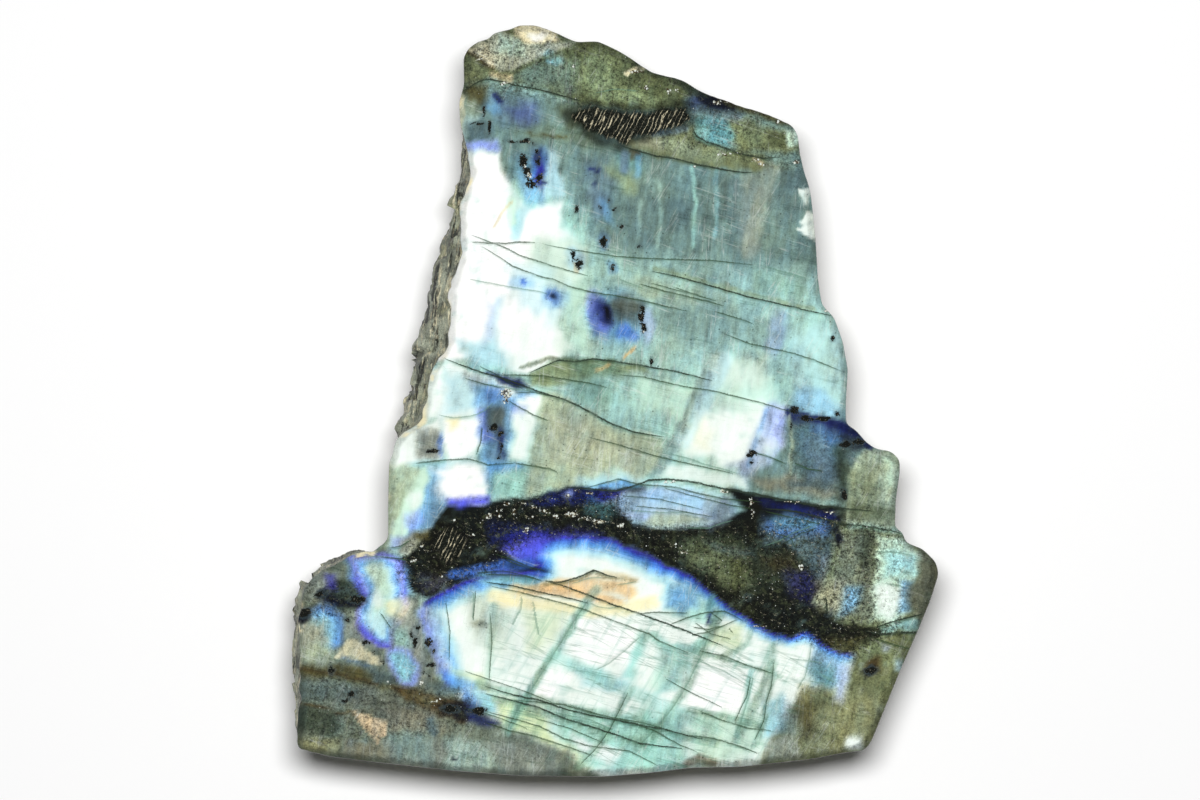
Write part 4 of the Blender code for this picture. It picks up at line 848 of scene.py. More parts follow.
# Cleavage cracks that reach the polish, in three strengths: half width, then points
DARK_CRACKS = [
    (0.22, [1.7, 51, 5, 50, 8, 49.1, 12, 48.5, 17, 47.2, 20, 46.7, 23, 46.1, 26, 45.7, 28, 45.8]),
    (0.24, [15.6, 55, 16.5, 53, 18.5, 51.8, 21, 51, 23, 50.3, 25, 49.5, 28.5, 48.8, 30, 48.5, 32.5, 48.8]),
    (0.2, [-30.5, 61.8, -27, 64, -25, 64.4, -22, 63.9, -20, 63.2, -15, 62.3, -10, 61, -6.5, 60]),
    (0.2, [7.5, 26, 13, 24.8, 22, 22.3, 27, 20.8, 35, 19, 39, 18, 44, 17]),
    (0.24, [-34, 8.5, -30, 7, -27, 5.9, -22, 4.5, -16, 2.2, -10, 0.3, -7, -1, -4, -2.7, 0, -4.8, 4, -6.2,
        10, -7.2]),
    (0.2, [-17, 5.6, -14, 7, -11, 8.2, -8, 7.8, -4, 8.5, 0, 7.9, 6, 7, 12, 6, 20, 4]),
    (0.26, [-10, -17.3, -5, -17.5, 0, -18, 4, -17, 7, -15.8, 11, -15.6, 16, -16.2, 22, -17.6, 28, -18.5,
        34, -19.8, 40, -20.8, 46, -21.5, 52, -22]),
    (0.22, [30, -21.5, 36, -22, 42, -23.5, 46, -24.7, 50, -25, 55, -25.8, 57.5, -26.5]),
    (0.3, [50, -46, 54, -46.6, 58, -46.3, 61.3, -46.2]), (0.24, [42.5, -39, 42.6, -43]),
    (0.22, [52, -45.5, 55, -44.3, 58, -43.5, 62, -42.5]),
    (0.2, [-26, -36.2, -20, -37, -15, -38.2, -10, -39.2, -5, -40.4]),
    (0.24, [-14, -36, -10, -37, -6, -38.5, 0, -40.8, 5, -42.5, 10, -44.3, 15, -46.2, 22, -49]),
    (0.22, [-14, -36, -11, -36.3, -7, -35.2, -4, -33.8, -1, -35, 1, -35.3]),
    (0.22, [-26, -57, -20, -58.8, -15, -59.8, -10, -61.5, -5, -62.8, 0, -63.7, 5, -64.8, 10, -65.7,
        18, -67.7]),
    (0.24, [-26, -58.5, -20, -60, -15, -61.3, -10, -63.5, -5, -65, 0, -66.6, 5, -68.5, 14, -69.5]),
]
MID_CRACKS = [
    (0.2, [-28.6, 31.8, -25, 31.6, -22, 31.5, -19, 31.8, -15.5, 31.7]),
    (0.16, [-14, 31.3, -8, 30.2, -5, 29.8, 0, 29, 5, 28.6, 10, 28.4, 20, 28.1, 28, 27.2]),
    (0.18, [-28.5, 33.2, -25, 31.9, -22, 30.8, -18.5, 29, -15, 27.9, -12, 26.9, -5, 25]),
    (0.18, [-26.5, 31, -22.5, 28.5, -20.3, 27, -14.8, 24.9, -12, 24.3, -9, 22.9, -5, 21.9, 2, 20.8, 6, 20,
        15, 17.9]),
    (0.2, [5, 23.5, 10, 22, 15, 20.8, 19, 19.9, 22, 19]), (0.16, [20, 18, 24, 16.8, 28, 15.4]),
    (0.18, [22, 13.5, 27, 11.5, 33, 10.2, 36, 9.5, 40, 8.2, 45, 6.2]),
    (0.18, [-23.5, 5.2, -19, 5.2, -14, 5, -10, 4.4, -5, 3.6, -1, 2.6]),
    (0.18, [1, 5.2, 6, 4.8, 10, 3.8, 14, 2.9, 20, 2, 25, 0.8, 30, -0.5, 37, -2.6]),
    (0.18, [-5, -7.3, 0, -8.5, 5, -10, 9, -11.2, 14, -12.3, 18, -13.2, 24, -14.5]),
    (0.2, [-6, -17.5, -2, -16.4, 1, -15.6, 5, -16.7, 12, -17.2, 17, -18.5, 22, -19.6, 30, -20.2]),
    (0.2, [-40, -12.5, -33, -11.7, -29, -11.6, -25, -12.8, -20, -12.4]),
    (0.2, [-20, -12.4, -17, -12.9, -13, -13.5, -11, -14.4]), (0.2, [-21, 0, -19, -1.2, -16, -2.8, -13, -4]),
    (0.2, [-26.3, -5, -26.6, -8, -27.6, -11]),
    (0.2, [-25, -37, -20, -38, -15, -39.2, -10, -40.5, -6, -41.7, 0, -44, 7, -46.5, 9, -48, 15, -50.4]),
    (0.2, [-26, -34.7, -20, -34.8, -17, -35.2, -14, -36]),
    (0.2, [11, -44.8, 15, -43.2, 18, -42.3, 22, -42, 26, -44]),
    (0.18, [5, -42.6, 8, -42.2, 12, -42.4, 15, -42.3]),
    (0.2, [-26, -62, -21, -63.3, -15, -65, -10, -67.5, -5, -69, 3, -70, 9, -73]),
    (0.2, [-26, -64.2, -21, -65.9, -16, -67, -12, -68.3, -8, -69.6, -4, -71]),
    (0.2, [-20, -59.8, -10, -60.7, -5, -62.3, 2, -63.8, 8, -65.9, 13, -68.7, 17, -70.3]),
    (0.14, [3, -58, 1, -62, -1, -66, -4, -70, -7, -73]), (0.2, [17, -50, 22, -51, 27, -53, 32, -54.5]),
    (0.2, [17, -62, 22, -64, 27, -65.5, 32, -66]), (0.2, [14, -66.8, 20, -67.5, 25, -69, 29, -70.5]),
    (0.14, [32, -52, 31.5, -57, 30.5, -60, 30, -64, 28, -68]), (0.2, [52, -47.5, 56, -48.7, 60, -49.8]),
    (0.16, [15.5, -45.2, 19, -45.7, 22.6, -44.7]), (0.16, [15, -46.8, 19, -46.2, 25.4, -43.4]),
    (0.16, [19, -42, 22, -44.2, 24, -46.6]), (0.16, [16, -44.2, 19.4, -46.6, 23.6, -47.6]),
    (0.12, [-27.6, -37.8, -28.2, -44]), (0.14, [-24.8, -42, -24.4, -48, -25, -56.4]),
    (0.14, [-33.6, -40, -32.8, -46, -33, -52.6]), (0.14, [10, -55.4, 16, -58.6, 22, -61.4]),
    (0.16, [27.4, -55, 26.6, -59, 24, -64.4]), (0.14, [-30, -54, -24, -56, -18, -58, -12, -60.4]),
    (0.14, [-30, -61.4, -24, -63, -17, -65.6]), (0.14, [-9, -60.8, -2, -63, 5, -64.2, 12, -66]),
    (0.14, [-16, -63.4, -9, -65.4, -2, -68.4]), (0.16, [-24, -30.6, -20.6, -31.6, -17, -33.2, -13.4, -34]),
    (0.14, [-22, -31.6, -18.6, -33, -15, -34]), (0.14, [-28, -34.4, -22, -34, -15.4, -35.4]),
    (0.16, [10, -17.4, 16, -19, 23, -20.8, 28, -21.6]), (0.14, [2, -19, 9, -19.6, 18, -21.8]),
    (0.14, [4, -21, 11, -21.6, 20, -23.2]), (0.14, [34, -28.6, 37, -26.6, 41, -25.2]),
    (0.16, [30, -22, 36, -23.4, 43, -25]), (0.14, [32, -26.4, 35.4, -27.4, 36.4, -29.6]),
    (0.16, [36, -12.4, 39, -13.6, 42, -14]), (0.14, [27, -10, 31, -11.2, 34.6, -12.6]),
    (0.14, [-27, 7, -24, 5.6, -20.6, 3.4, -18, 2.4]), (0.14, [-30, 4.6, -26, 3.4, -22.4, 2.6]),
    (0.14, [-20, 1.6, -16, 1.8, -12, 0.8]), (0.14, [12, 22.8, 17, 21, 20.6, 20]),
    (0.14, [7.4, 23.6, 12.4, 22.2, 17, 21.2]), (0.14, [-45, -29.4, -42.6, -29, -40.4, -27.6]),
    (0.14, [-47, -31.2, -42, -31.6, -39, -32.4]), (0.14, [-46.8, -42.2, -45.6, -44, -44.4, -45.6]),
]
FAINT_CRACKS = [
    (0.2, [-5.5, -40.5, -8, -44, -12, -50.5, -16, -57, -18.5, -60.5, -21.5, -66]),
    (0.2, [19, -47, 17.5, -51, 14.5, -57, 12, -61, 9, -65, 5, -69]), (0.18, [30, 27, 35, 25.5, 38, 24.7]),
    (0.18, [-29, 24.4, -25, 23.6, -20, 22.7, -15, 21.9, -13, 21.4]), (0.16, [-4, 61.5, 0, 62.4, 5, 62]),
    (0.16, [1, 24.4, 6, 22.5]), (0.16, [-26, 3.5, -22, 2.8, -19.5, 2.3, -16, 2]),
    (0.16, [11, -10.4, 15, -11.5, 18, -12.6, 25, -14.5]),
    (0.16, [-35, -2.8, -32, -3.4, -28.5, -3, -26, -2, -24, -0.2]), (0.16, [3, -21.8, 9, -22.3, 15, -22.2]),
    (0.16, [14, -25.4, 19, -25.4, 22, -24.3, 24, -23.8]), (0.16, [30, -29, 33, -28, 36, -26.3, 40, -24.8]),
    (0.18, [52, -30, 57, -30.3, 60, -31]), (0.18, [54, -36.5, 58, -37]),
    (0.16, [28, -10.2, 31, -11, 34, -12.4]), (0.16, [36, -12.5, 38, -13.3, 41, -14]),
    (0.16, [-46, -29.3, -43, -29.5, -41, -27.7]), (0.16, [-50, -31, -45, -31.2, -41, -32]),
    (0.16, [-5, -40.4, -3, -41.2, -1, -41.5, 2, -40.9]), (0.16, [0, -36.9, 3, -36.4, 5, -36]),
    (0.16, [-9, -36.7, -5, -35.4, -2, -35.2]), (0.3, [-18.3, -39, -18.8, -42, -20.5, -45]),
    (0.3, [-16.2, -40, -15.6, -44, -15, -47]), (0.2, [5.5, -47, 2, -50, -1, -52.5, -4, -54]),
    (0.2, [28, -55, 27, -59, 25.5, -64, 24, -67]), (0.2, [39.5, -48, 39.2, -51, 38.3, -55, 36.5, -58]),
    (0.16, [17, -52, 22, -54, 27, -57]), (0.16, [35, -51.5, 39, -52, 42, -52.4]),
    (0.2, [-28, -38, -28.2, -44]), (0.16, [-12, -62.3, -5, -63.6, 0, -65.9]),
]

# Black ore plates and pale bits: x, y, half length along x and y
ORE_PLATES = [
    (-26, 58.2, 0.45, 1.4), (-27, 55.5, 1.8, 0.35), (-24.9, 54.6, 0.4, 1.5), (-20.6, 51.8, 0.7, 0.35),
    (-17.8, 52, 1.5, 0.4), (-15.8, 51.4, 0.8, 0.4), (-18.2, 48.2, 0.9, 1.3), (-17.4, 45.6, 0.8, 1.4),
    (-16.2, 43.4, 1.3, 0.7), (-15.4, 49.8, 0.5, 0.7), (-15.3, 47.8, 0.6, 0.8), (-14.9, 44.6, 0.7, 0.8),
    (-7.4, 38.6, 0.5, 1.1), (-1, 40, 0.5, 0.45), (0.2, 38.2, 0.8, 0.5), (-2.6, 38.6, 0.3, 0.3),
    (5.5, 18.6, 0.5, 1.1), (5.4, 16.4, 0.7, 1.4), (6, 14.8, 0.45, 1.2), (-8.2, 29, 0.35, 1.0),
    (-6.9, 27.4, 0.8, 0.9), (-2.1, 31.9, 0.55, 1.3), (-0.3, 26.7, 0.5, 0.6), (1.4, 34.9, 0.5, 0.35),
    (5.2, 31, 0.3, 0.4), (7.5, 8, 0.3, 1.0), (43.7, 12.6, 0.5, 0.5), (36.2, -1.6, 1.3, 0.9),
    (38.4, -3.6, 1.4, 0.7), (42, -3.6, 2.0, 0.4), (44.7, -2.8, 0.5, 0.6), (35.4, -5, 0.4, 0.8),
    (27.6, -10.6, 0.9, 0.7), (27.4, -12.2, 0.4, 0.6), (29.4, -8, 0.35, 0.3), (-49.6, -48.4, 0.7, 0.5),
    (-48, -50.2, 0.35, 0.35), (-46.4, -52.2, 0.45, 0.9), (-39.8, -48.4, 0.6, 1.1), (-39, -45.4, 0.7, 0.4),
    (-40.4, -46.8, 0.5, 0.7), (-37, -48.4, 0.8, 0.8), (-36.4, -50, 0.5, 0.5), (-36.8, -52.8, 1.5, 0.5),
    (-36.9, -55, 0.3, 0.7), (-38, -54, 0.3, 0.3), (-56.4, -54, 0.6, 0.9), (-52.4, -58.6, 0.8, 0.7),
    (-53.8, -59.8, 0.5, 0.3), (-62, -42.4, 1.2, 0.9), (-58.8, -38.6, 1.0, 0.6), (-53.2, -43.6, 0.6, 0.5),
    (-51.4, -39.6, 1.6, 0.8), (-24.3, -5.3, 1.2, 0.9), (-22.4, -6.4, 0.9, 0.5), (-23.2, -11.2, 0.5, 0.4),
    (-36.6, -10, 1.6, 0.5), (-22.6, -9, 0.3, 1.2), (-26.6, -44.6, 0.6, 0.3), (43, -42.2, 0.5, 0.5),
    (27, -39.4, 0.5, 0.5), (33.6, 60.4, 0.4, 0.4), (46.4, -8.6, 1.4, 0.6), (49, -8, 1.2, 0.5),
    (51.4, -53.8, 1.4, 0.8), (46, -18.4, 0.7, 1.2), (-27, -62, 2.0, 0.8), (-33, -61.6, 1.8, 0.7),
]
PALE_BITS = [
    (-32, -24, 0.6, 0.3), (-26.4, -24.2, 0.6, 0.4), (-25, -23, 0.5, 0.6), (-23.2, -21.8, 0.7, 0.4),
    (-21.2, -20.5, 0.9, 0.35), (-20, -22.2, 0.5, 0.7), (-18.4, -20.5, 0.8, 0.35), (-22.6, -23.2, 0.4, 0.3),
    (-16, -21.2, 0.7, 0.35), (-14, -22, 0.9, 0.35), (-11.8, -23.2, 0.8, 0.35), (-16.6, -23.4, 0.5, 0.4),
    (-8.6, -22.8, 1.5, 0.55), (-5.8, -23.6, 1.2, 0.4), (-3, -24.2, 1.6, 0.5), (1.4, -24.8, 1.0, 0.35),
    (-7.6, -17.9, 1.0, 0.3), (-5, -18.4, 1.3, 0.35), (-9.3, -19, 0.5, 0.5), (-17.4, -25.9, 0.6, 0.6),
    (-38.2, -28.8, 0.5, 0.6), (-37.8, -30, 0.4, 0.4), (-28.2, -26.8, 0.6, 0.25), (-40, -32, 0.8, 0.3),
    (11.2, -16.3, 1.2, 0.35), (22, -17.9, 1.0, 0.35), (27.4, -20.2, 0.4, 0.9), (27.6, -22.8, 0.35, 0.8),
    (13.8, -30.2, 0.8, 0.4), (12, -28.6, 0.4, 0.3), (37.4, -33.4, 0.5, 0.6), (36, -30.4, 0.5, 0.6),
    (27, -39.2, 0.5, 0.4), (29, -45.2, 2.0, 0.25), (-34.6, -35, 0.4, 0.5), (36, -20.2, 2.6, 0.2),
    (43.6, -22.4, 2.0, 0.2), (-21.6, 1.6, 1.15, 1.1), (-21.5, 0.3, 0.6, 0.7), (20.6, 59.7, 0.6, 0.5),
    (23, 60, 0.9, 0.3), (6.4, 62.6, 0.5, 0.35), (4.4, 66, 1.8, 0.3), (10.8, 62, 0.4, 0.3),
    (12.6, 62.4, 0.4, 0.3), (-8, 67, 0.4, 0.3), (17, 63, 1.2, 0.4), (42.6, 18.2, 0.5, 0.4),
    (36.4, 47.8, 0.7, 0.4), (5.9, 13.6, 0.4, 0.5), (28.4, 48.2, 1.0, 0.3), (29.4, 47.5, 0.5, 0.3),
    (22, 49.4, 1.4, 0.3), (16.4, 46.9, 0.5, 0.2), (31, 59, 0.5, 0.3), (33, 56, 0.5, 0.3),
    (26, 60.2, 0.9, 0.3), (-16.9, 45, 0.6, 0.7), (-17.9, 47, 0.3, 0.3), (-17, 52, 0.5, 0.2),
    (-38.4, -56.4, 0.5, 0.6), (-35.4, -60, 0.7, 0.35), (-31.4, -58.8, 0.4, 0.4), (-45, -56, 0.4, 0.3),
    (-5, 73.2, 1.4, 0.4), (-22, 63.6, 1.6, 0.3), (-27, 68.4, 1.6, 0.25),
]

# Where tiny cleavage flakes glitter or dark specks crowd
SPARKLING = [
    (0.6, [-32, 62, -30, 74, -8, 75, 8, 68, 38, 56, 38, 46, 10, 50, 0, 56, -12, 60]),
    (0.22, [-66, -32, -44, -30, -38, -40, -34, -56, -10, -72, -66, -76]),
    (0.3, [34, -4, 60, -8, 66, -34, 60, -50, 46, -46, 44, -24, 34, -18]),
    (1.0, [-42, -29, -36, -25, -24, -20.4, -11, -18, 2, -18, 4, -24.6, 22, -25, 42, -22, 58, -26, 58, -46,
        48, -52, 30, -46, 14, -34, 0, -27, -16, -27.5, -24, -34, -38, -40, -44, -34]),
    (0.3, [34, -52, 60, -46, 52, -72, 32, -72]), (0.7, [-62, -36, -50, -36, -50, -44, -62, -44]),
    (0.6, [-62, -54, -28, -58, -28, -66, -62, -70]), (0.8, [-29, 74, -8, 73, -14, 67, -28, 66]),
]


def blob_depth(places, rows):
    """Depth inside the nearest of several ellipses, as (1 - r) times the ellipse's mean half length."""
    depth = np.full(len(places), -9.0)
    for x, y, half_x, half_y in rows:
        away = np.hypot((places[:, 0] - x) / half_x, (places[:, 1] - y) / half_y)
        depth = np.maximum(depth, (1 - away) * (half_x + half_y) / 2)
    return depth


def stroke_distance(places, points):
    """Signed distance to an open line of points, and the share of its length nearest to each place."""
    line = np.array(points, float).reshape(-1, 2)
    steps = np.hypot(*np.diff(line, axis=0).T)
    before = np.concatenate([[0], np.cumsum(steps)])
    nearest = np.full(len(places), np.inf)
    signed = np.zeros(len(places))
    share = np.zeros(len(places))
    for (x0, y0), (x1, y1), length, start in zip(line[:-1], line[1:], steps, before[:-1]):
        run = np.array([x1 - x0, y1 - y0]) / length
        offset = places - (x0, y0)
        along = np.clip(offset @ run, 0, length)
        away = np.linalg.norm(offset - along[:, None] * run, axis=1)
        side = np.sign(run[0] * offset[:, 1] - run[1] * offset[:, 0])
        closer = away < nearest
        nearest = np.where(closer, away, nearest)
        signed = np.where(closer, np.where(side < 0, -away, away), signed)
        share = np.where(closer, (start + along) / before[-1], share)
    return signed, share


def near_places(places, points, margin):
    """The numbers of the places within a margin of a set of points' own box."""
    corners = np.array(points, float).reshape(-1, 2)
    kept = (places > corners.min(axis=0) - margin) & (places < corners.max(axis=0) + margin)
    return np.flatnonzero(kept.all(axis=1))


def painted(places, points):
    """The tones of the face, 0 to 255: zones, spots and strokes laid one over another.

    A zone's cover rises smoothly across its edge, by its softness either way, and its edge wanders
    with the noise. A ramp's colour is read from its table by the depth inside the edge.
    """
    tones = np.tile(np.array(SHADES["pale teal"], float), (len(places), 1))
    wander = np.stack([
        0.6 * cloud(points, 2.2, key) + 0.3 * cloud(points, 0.9, key + 1) for key in (51, 53)
    ], axis=1)
    patchy = np.clip(1.12 + 0.35 * cloud(points, 1.7, 55) + 0.2 * cloud(points, 0.8, 56), 0.6, 1)
    for shade, softness, strength, outline in ZONES:
        near = near_places(places, outline, softness + 1.5)
        depth = inside_by(places[near] + wander[near] * (0.3 + 0.6 * softness), outline)
        if shade in RAMPS:
            depth *= 1 + smoothstep(4, 26, places[near, 0])
            depths, names = zip(*RAMPS[shade])
            stops = np.array([SHADES[name] for name in names], float)
            colour = np.stack([np.interp(depth, depths, stops[:, k]) for k in range(3)], axis=1)
        else:
            colour = np.array(SHADES[shade], float)
        cover = strength * smoothstep(-softness, softness, depth) * patchy[near]
        tones[near] += (colour - tones[near]) * cover[:, None]
    for shade, strength, x, y, half_x, half_y, turn in SPOTS:
        near = near_places(places, [(x, y)], 2 * max(half_x, half_y) + 1)
        offset = places[near] + 1.2 * wander[near] - (x, y)
        cos, sin = np.cos(np.radians(turn)), np.sin(np.radians(turn))
        away = np.hypot((offset[:, 0] * cos + offset[:, 1] * sin) / half_x,
                        (offset[:, 1] * cos - offset[:, 0] * sin) / half_y)
        cover = strength * smoothstep(1.35, 0.5, away) * patchy[near]
        tones[near] += (np.array(SHADES[shade]) - tones[near]) * cover[:, None]
    for shade, strength, half_width, line in BANDS:
        near = near_places(places, line, 2 * half_width + 1)
        away = np.abs(stroke_distance(places[near] + 0.5 * wander[near], line)[0])
        cover = strength * smoothstep(1.5 * half_width, 0.4 * half_width, away) * patchy[near] ** 2
        tones[near] += (np.array(SHADES[shade]) - tones[near]) * cover[:, None]
    return tones


NEAR_ZONE = 0.85
FAR_VALUE = 60.0
TIP_SHARE = 0.18


def crack_channels(places, cracks):
    """Three channels of distance to the nearest crack, in half widths and signed by its side.

    Near a crack the value is the distance over the half width, which shrinks to nothing at the
    crack's tips, and past the near zone it jumps to a far value. Two cracks that come near each other
    are put in different channels, so that one's sign doesn't disturb the other's.
    """
    channels = np.full((3, len(places)), FAR_VALUE)
    taken = np.zeros((3, len(places)), bool)
    for half_width, line in cracks:
        near = near_places(places, line, 3 * NEAR_ZONE)
        signed, share = stroke_distance(places[near], line)
        tip = np.sqrt(np.clip(np.minimum(share, 1 - share) / TIP_SHARE, 0.003, 1))
        close = np.abs(signed) < NEAR_ZONE
        value = np.where(close, signed / (half_width * tip), np.sign(signed) * FAR_VALUE)
        clashes = [(taken[k, near] & (np.abs(signed) < 2 * NEAR_ZONE)).sum() for k in range(3)]
        best = int(np.argmin(clashes))
        free = ~taken[best, near] & (np.abs(signed) < 2 * NEAR_ZONE)
        channels[best, near[free]] = np.clip(value[free], -FAR_VALUE, FAR_VALUE)
        taken[best, near[close]] = True
    return channels.T


def add_attribute(mesh, name, kind, rows):
    """A point attribute of a mesh, filled from an array in one call."""
    attribute = mesh.attributes.new(name, kind, "POINT")
    field = {"FLOAT": "value", "FLOAT_VECTOR": "vector", "FLOAT_COLOR": "color"}[kind]
    attribute.data.foreach_set(field, np.ascontiguousarray(rows, np.float32).ravel())


LATTICE = [-24, -42, -4, -41, 20, -44, 34, -50, 44, -50, 46, -58, 36, -62, 30, -74, -12, -74, -28, -62]
places = stone_points[:, :2]
shallow = stone_points * np.array([1, 1, 0.25])
tones = painted(places, shallow)

# Broad and narrow drift of every zone, longer up the stone, where the lamellae run
WARM_DRIFT, LIGHT_DRIFT = np.array([3.6, 1.0, -4.0]), 0.085
POCKET_HALO, EDGE_SHADE, FOOT_SHADE = 0.45, 0.14, 0.16
STRIATED_POCKETS = ("striated pocket", "knot pocket")
upright = stone_points * np.array([1.0, 0.45, 0.2])
warm_drift = cloud(upright, 5.0, 61) + 0.6 * cloud(upright, 1.9, 62)
light_drift = cloud(upright, 3.4, 63) + 0.8 * cloud(upright, 1.3, 64) + 0.4 * cloud(shallow, 0.8, 65)
room = 1 - smoothstep(200, 250, tones.mean(axis=1))
tones += (warm_drift * room)[:, None] * WARM_DRIFT
tones *= 1 + (LIGHT_DRIFT * light_drift * (0.25 + 0.75 * room))[:, None]
for name in STRIATED_POCKETS:
    halo = smoothstep(-2.4, 0, inside_by(places, POCKETS[name][0]) + cloud(shallow, 1.6, 72))
    tones *= (1 - POCKET_HALO * halo)[:, None]
# Painted shade: the face darkens over its last 0.8 mm or so at the border, most at the foot, on the side
# away from the softbox, and at the right side
border = skin[0][::6, :2]
rim_depth = inside_by(places, border)
foot_side = smoothstep(-55, -72, places[:, 1]) + 0.5 * smoothstep(36, 56, places[:, 0])
edge_shade = smoothstep(0.8, 0, rim_depth + 0.3 * cloud(shallow, 1.4, 68))
tones *= (1 - edge_shade * (EDGE_SHADE + FOOT_SHADE * np.clip(foot_side, 0, 1)))[:, None]
chipped = np.abs(stroke_distance(places, [row[:2] for row in LEFT_EDGE])[0]) + 0.8 * cloud(shallow, 1.1, 69)
pale_rim = 0.9 * smoothstep(0.9, 0.5, chipped) * smoothstep(0.0, 0.5, cloud(shallow, 2.4, 71))
tones += (np.array(SHADES["cream"]) - tones) * pale_rim[:, None]
share = np.clip(tones, 0, 255) / 255
fullness = FULL_FLASH + (FULLEST_FLASH - FULL_FLASH) * smoothstep(0.72, 0.97, share)
linear = share**DISPLAY_POWER * fullness
add_attribute(stone_mesh, "tone", "FLOAT_COLOR", np.column_stack([linear, np.ones(len(linear))]))

jagged = places + np.stack([0.35 * cloud(shallow, 0.8, 66), 0.35 * cloud(shallow, 0.8, 67)], axis=1)
sparkle = np.zeros(len(places))
for strength, outline in SPARKLING:
    sparkle = np.maximum(sparkle, strength * smoothstep(-1.5, 1.5, inside_by(places, outline)))
add_attribute(stone_mesh, "marks", "FLOAT_VECTOR", np.column_stack([
    blob_depth(jagged, ORE_PLATES), blob_depth(jagged, PALE_BITS), sparkle,
]))
CRACK_SETS = {"dark_cracks": DARK_CRACKS, "mid_cracks": MID_CRACKS, "faint_cracks": FAINT_CRACKS}
for name, cracks in CRACK_SETS.items():
    add_attribute(stone_mesh, name, "FLOAT_VECTOR", crack_channels(places, cracks))
lattice = smoothstep(-2, 2.5, inside_by(places, LATTICE)) * (0.7 + 0.5 * cloud(shallow, 3.5, 70))
add_attribute(stone_mesh, "lattice", "FLOAT", np.clip(lattice, 0, 1))
striated = np.zeros(len(places))
for name in STRIATED_POCKETS:
    striated = np.maximum(striated, smoothstep(-0.2, 0.5, inside_by(jagged, POCKETS[name][0])))
add_attribute(stone_mesh, "striated", "FLOAT", striated)
shades = np.concatenate([np.full(len(face_points), 0.5), skin_shade[1:].ravel(), [0.5]])
add_attribute(stone_mesh, "splinter_shade", "FLOAT", shades)

# The feldspar's surface. On the polished face the painted tone lies under fine grain, cleavage
# lines, cracks, black ore and pale crumbs. Where the stone broke it is matt, fibrous, and grey and
# cream. Both materials share one group of mineral grain.


def add_node(tree, kind, settings=None, **values):
    """A shader node with its settings, and its unlinked inputs' values, set by name."""
    node = tree.nodes.new(kind)
    for name, value in (settings or {}).items():
        setattr(node, name, value)
    for name, value in values.items():
        node.inputs[name.replace("_", " ")].default_value = value
    return node


def joined(tree, kind, sources, **settings):
    """A node's first output, with its inputs linked to sockets or set to numbers, in order."""
    node = add_node(tree, kind, settings)
    for place, source in enumerate(sources):
        if isinstance(source, bpy.types.NodeSocket):
            tree.links.new(source, node.inputs[place])
        elif source is not None:
            node.inputs[place].default_value = source
    return node.outputs[0]


def maths(tree, operation, *sources):
    """A scalar operation on sockets or numbers."""
    return joined(tree, "ShaderNodeMath", sources, operation=operation)


def times(tree, *sources):
    """The product of two sockets or numbers."""
    return maths(tree, "MULTIPLY", *sources)


def weighed(tree, *pairs):
    """The sum of each value less a half, times its weight."""
    total = None
    for value, weight in pairs:
        part = times(tree, maths(tree, "SUBTRACT", value, 0.5), weight)
        total = part if total is None else maths(tree, "ADD", total, part)
    return total


def between(tree, value, low, high):
    """A smooth rise of a value from 0 at low to 1 at high."""
    node = add_node(tree, "ShaderNodeMapRange", {"interpolation_type": "SMOOTHSTEP"},
                    From_Min=low, From_Max=high)
    tree.links.new(value, node.inputs["Value"])
    return node.outputs["Result"]


def blended(tree, share, under, over, blend="MIX"):
    """One colour over another by a share, each a socket or a colour."""
    node = add_node(tree, "ShaderNodeMix", {"data_type": "RGBA", "blend_type": blend})
    for name, source in (("Factor", share), ("A", under), ("B", over)):
        socket = [socket for socket in node.inputs if socket.name == name and socket.enabled][0]
        if isinstance(source, bpy.types.NodeSocket):
            tree.links.new(source, socket)
        else:
            socket.default_value = source
    return [socket for socket in node.outputs if socket.enabled][0]


def shade_linear(name):
    """A named shade as the linear colour that a shader takes."""
    return tuple(FULL_FLASH * (np.array(SHADES[name]) / 255) ** DISPLAY_POWER) + (1.0,)


def noise(tree, place, scale, detail=2.0, roughness=0.55):
    """Noise from 0 to 1 at a place, features about 1 / scale apart."""
    node = add_node(tree, "ShaderNodeTexNoise", Scale=scale, Detail=detail, Roughness=roughness)
    tree.links.new(place, node.inputs["Vector"])
    return node.outputs["Fac"]


def stretched(tree, place, turn, scale):
    """A place turned about Z by degrees, and then scaled along each axis."""
    turned = add_node(tree, "ShaderNodeMapping", Rotation=(0, 0, np.radians(turn)))
    tree.links.new(place, turned.inputs["Vector"])
    return joined(tree, "ShaderNodeVectorMath", (turned.outputs["Vector"], scale), operation="MULTIPLY")


def cells(tree, place, scale):
    """A cell pattern's distance from each middle, and a chance number for each cell."""
    node = add_node(tree, "ShaderNodeTexVoronoi", Scale=scale)
    tree.links.new(place, node.inputs["Vector"])
    parts = add_node(tree, "ShaderNodeSeparateXYZ")
    tree.links.new(node.outputs["Color"], parts.inputs["Vector"])
    return node.outputs["Distance"], parts.outputs["X"]


def scratches(tree, place, turn, scale, thin, sparse):
    """Thin lines along one direction, where stretched noise passes its middle, kept in patches."""
    level = noise(tree, stretched(tree, place, turn, (0.05, 1.0, 0.5)), scale, 3.0, 0.6)
    line = between(tree, maths(tree, "ABSOLUTE", maths(tree, "SUBTRACT", level, 0.5)), thin, 0.0)
    spread = noise(tree, stretched(tree, place, turn, (0.3, 1.0, 1.0)), 0.34, 2.0)
    patch = between(tree, spread, sparse, sparse + 0.06)
    return times(tree, line, patch)


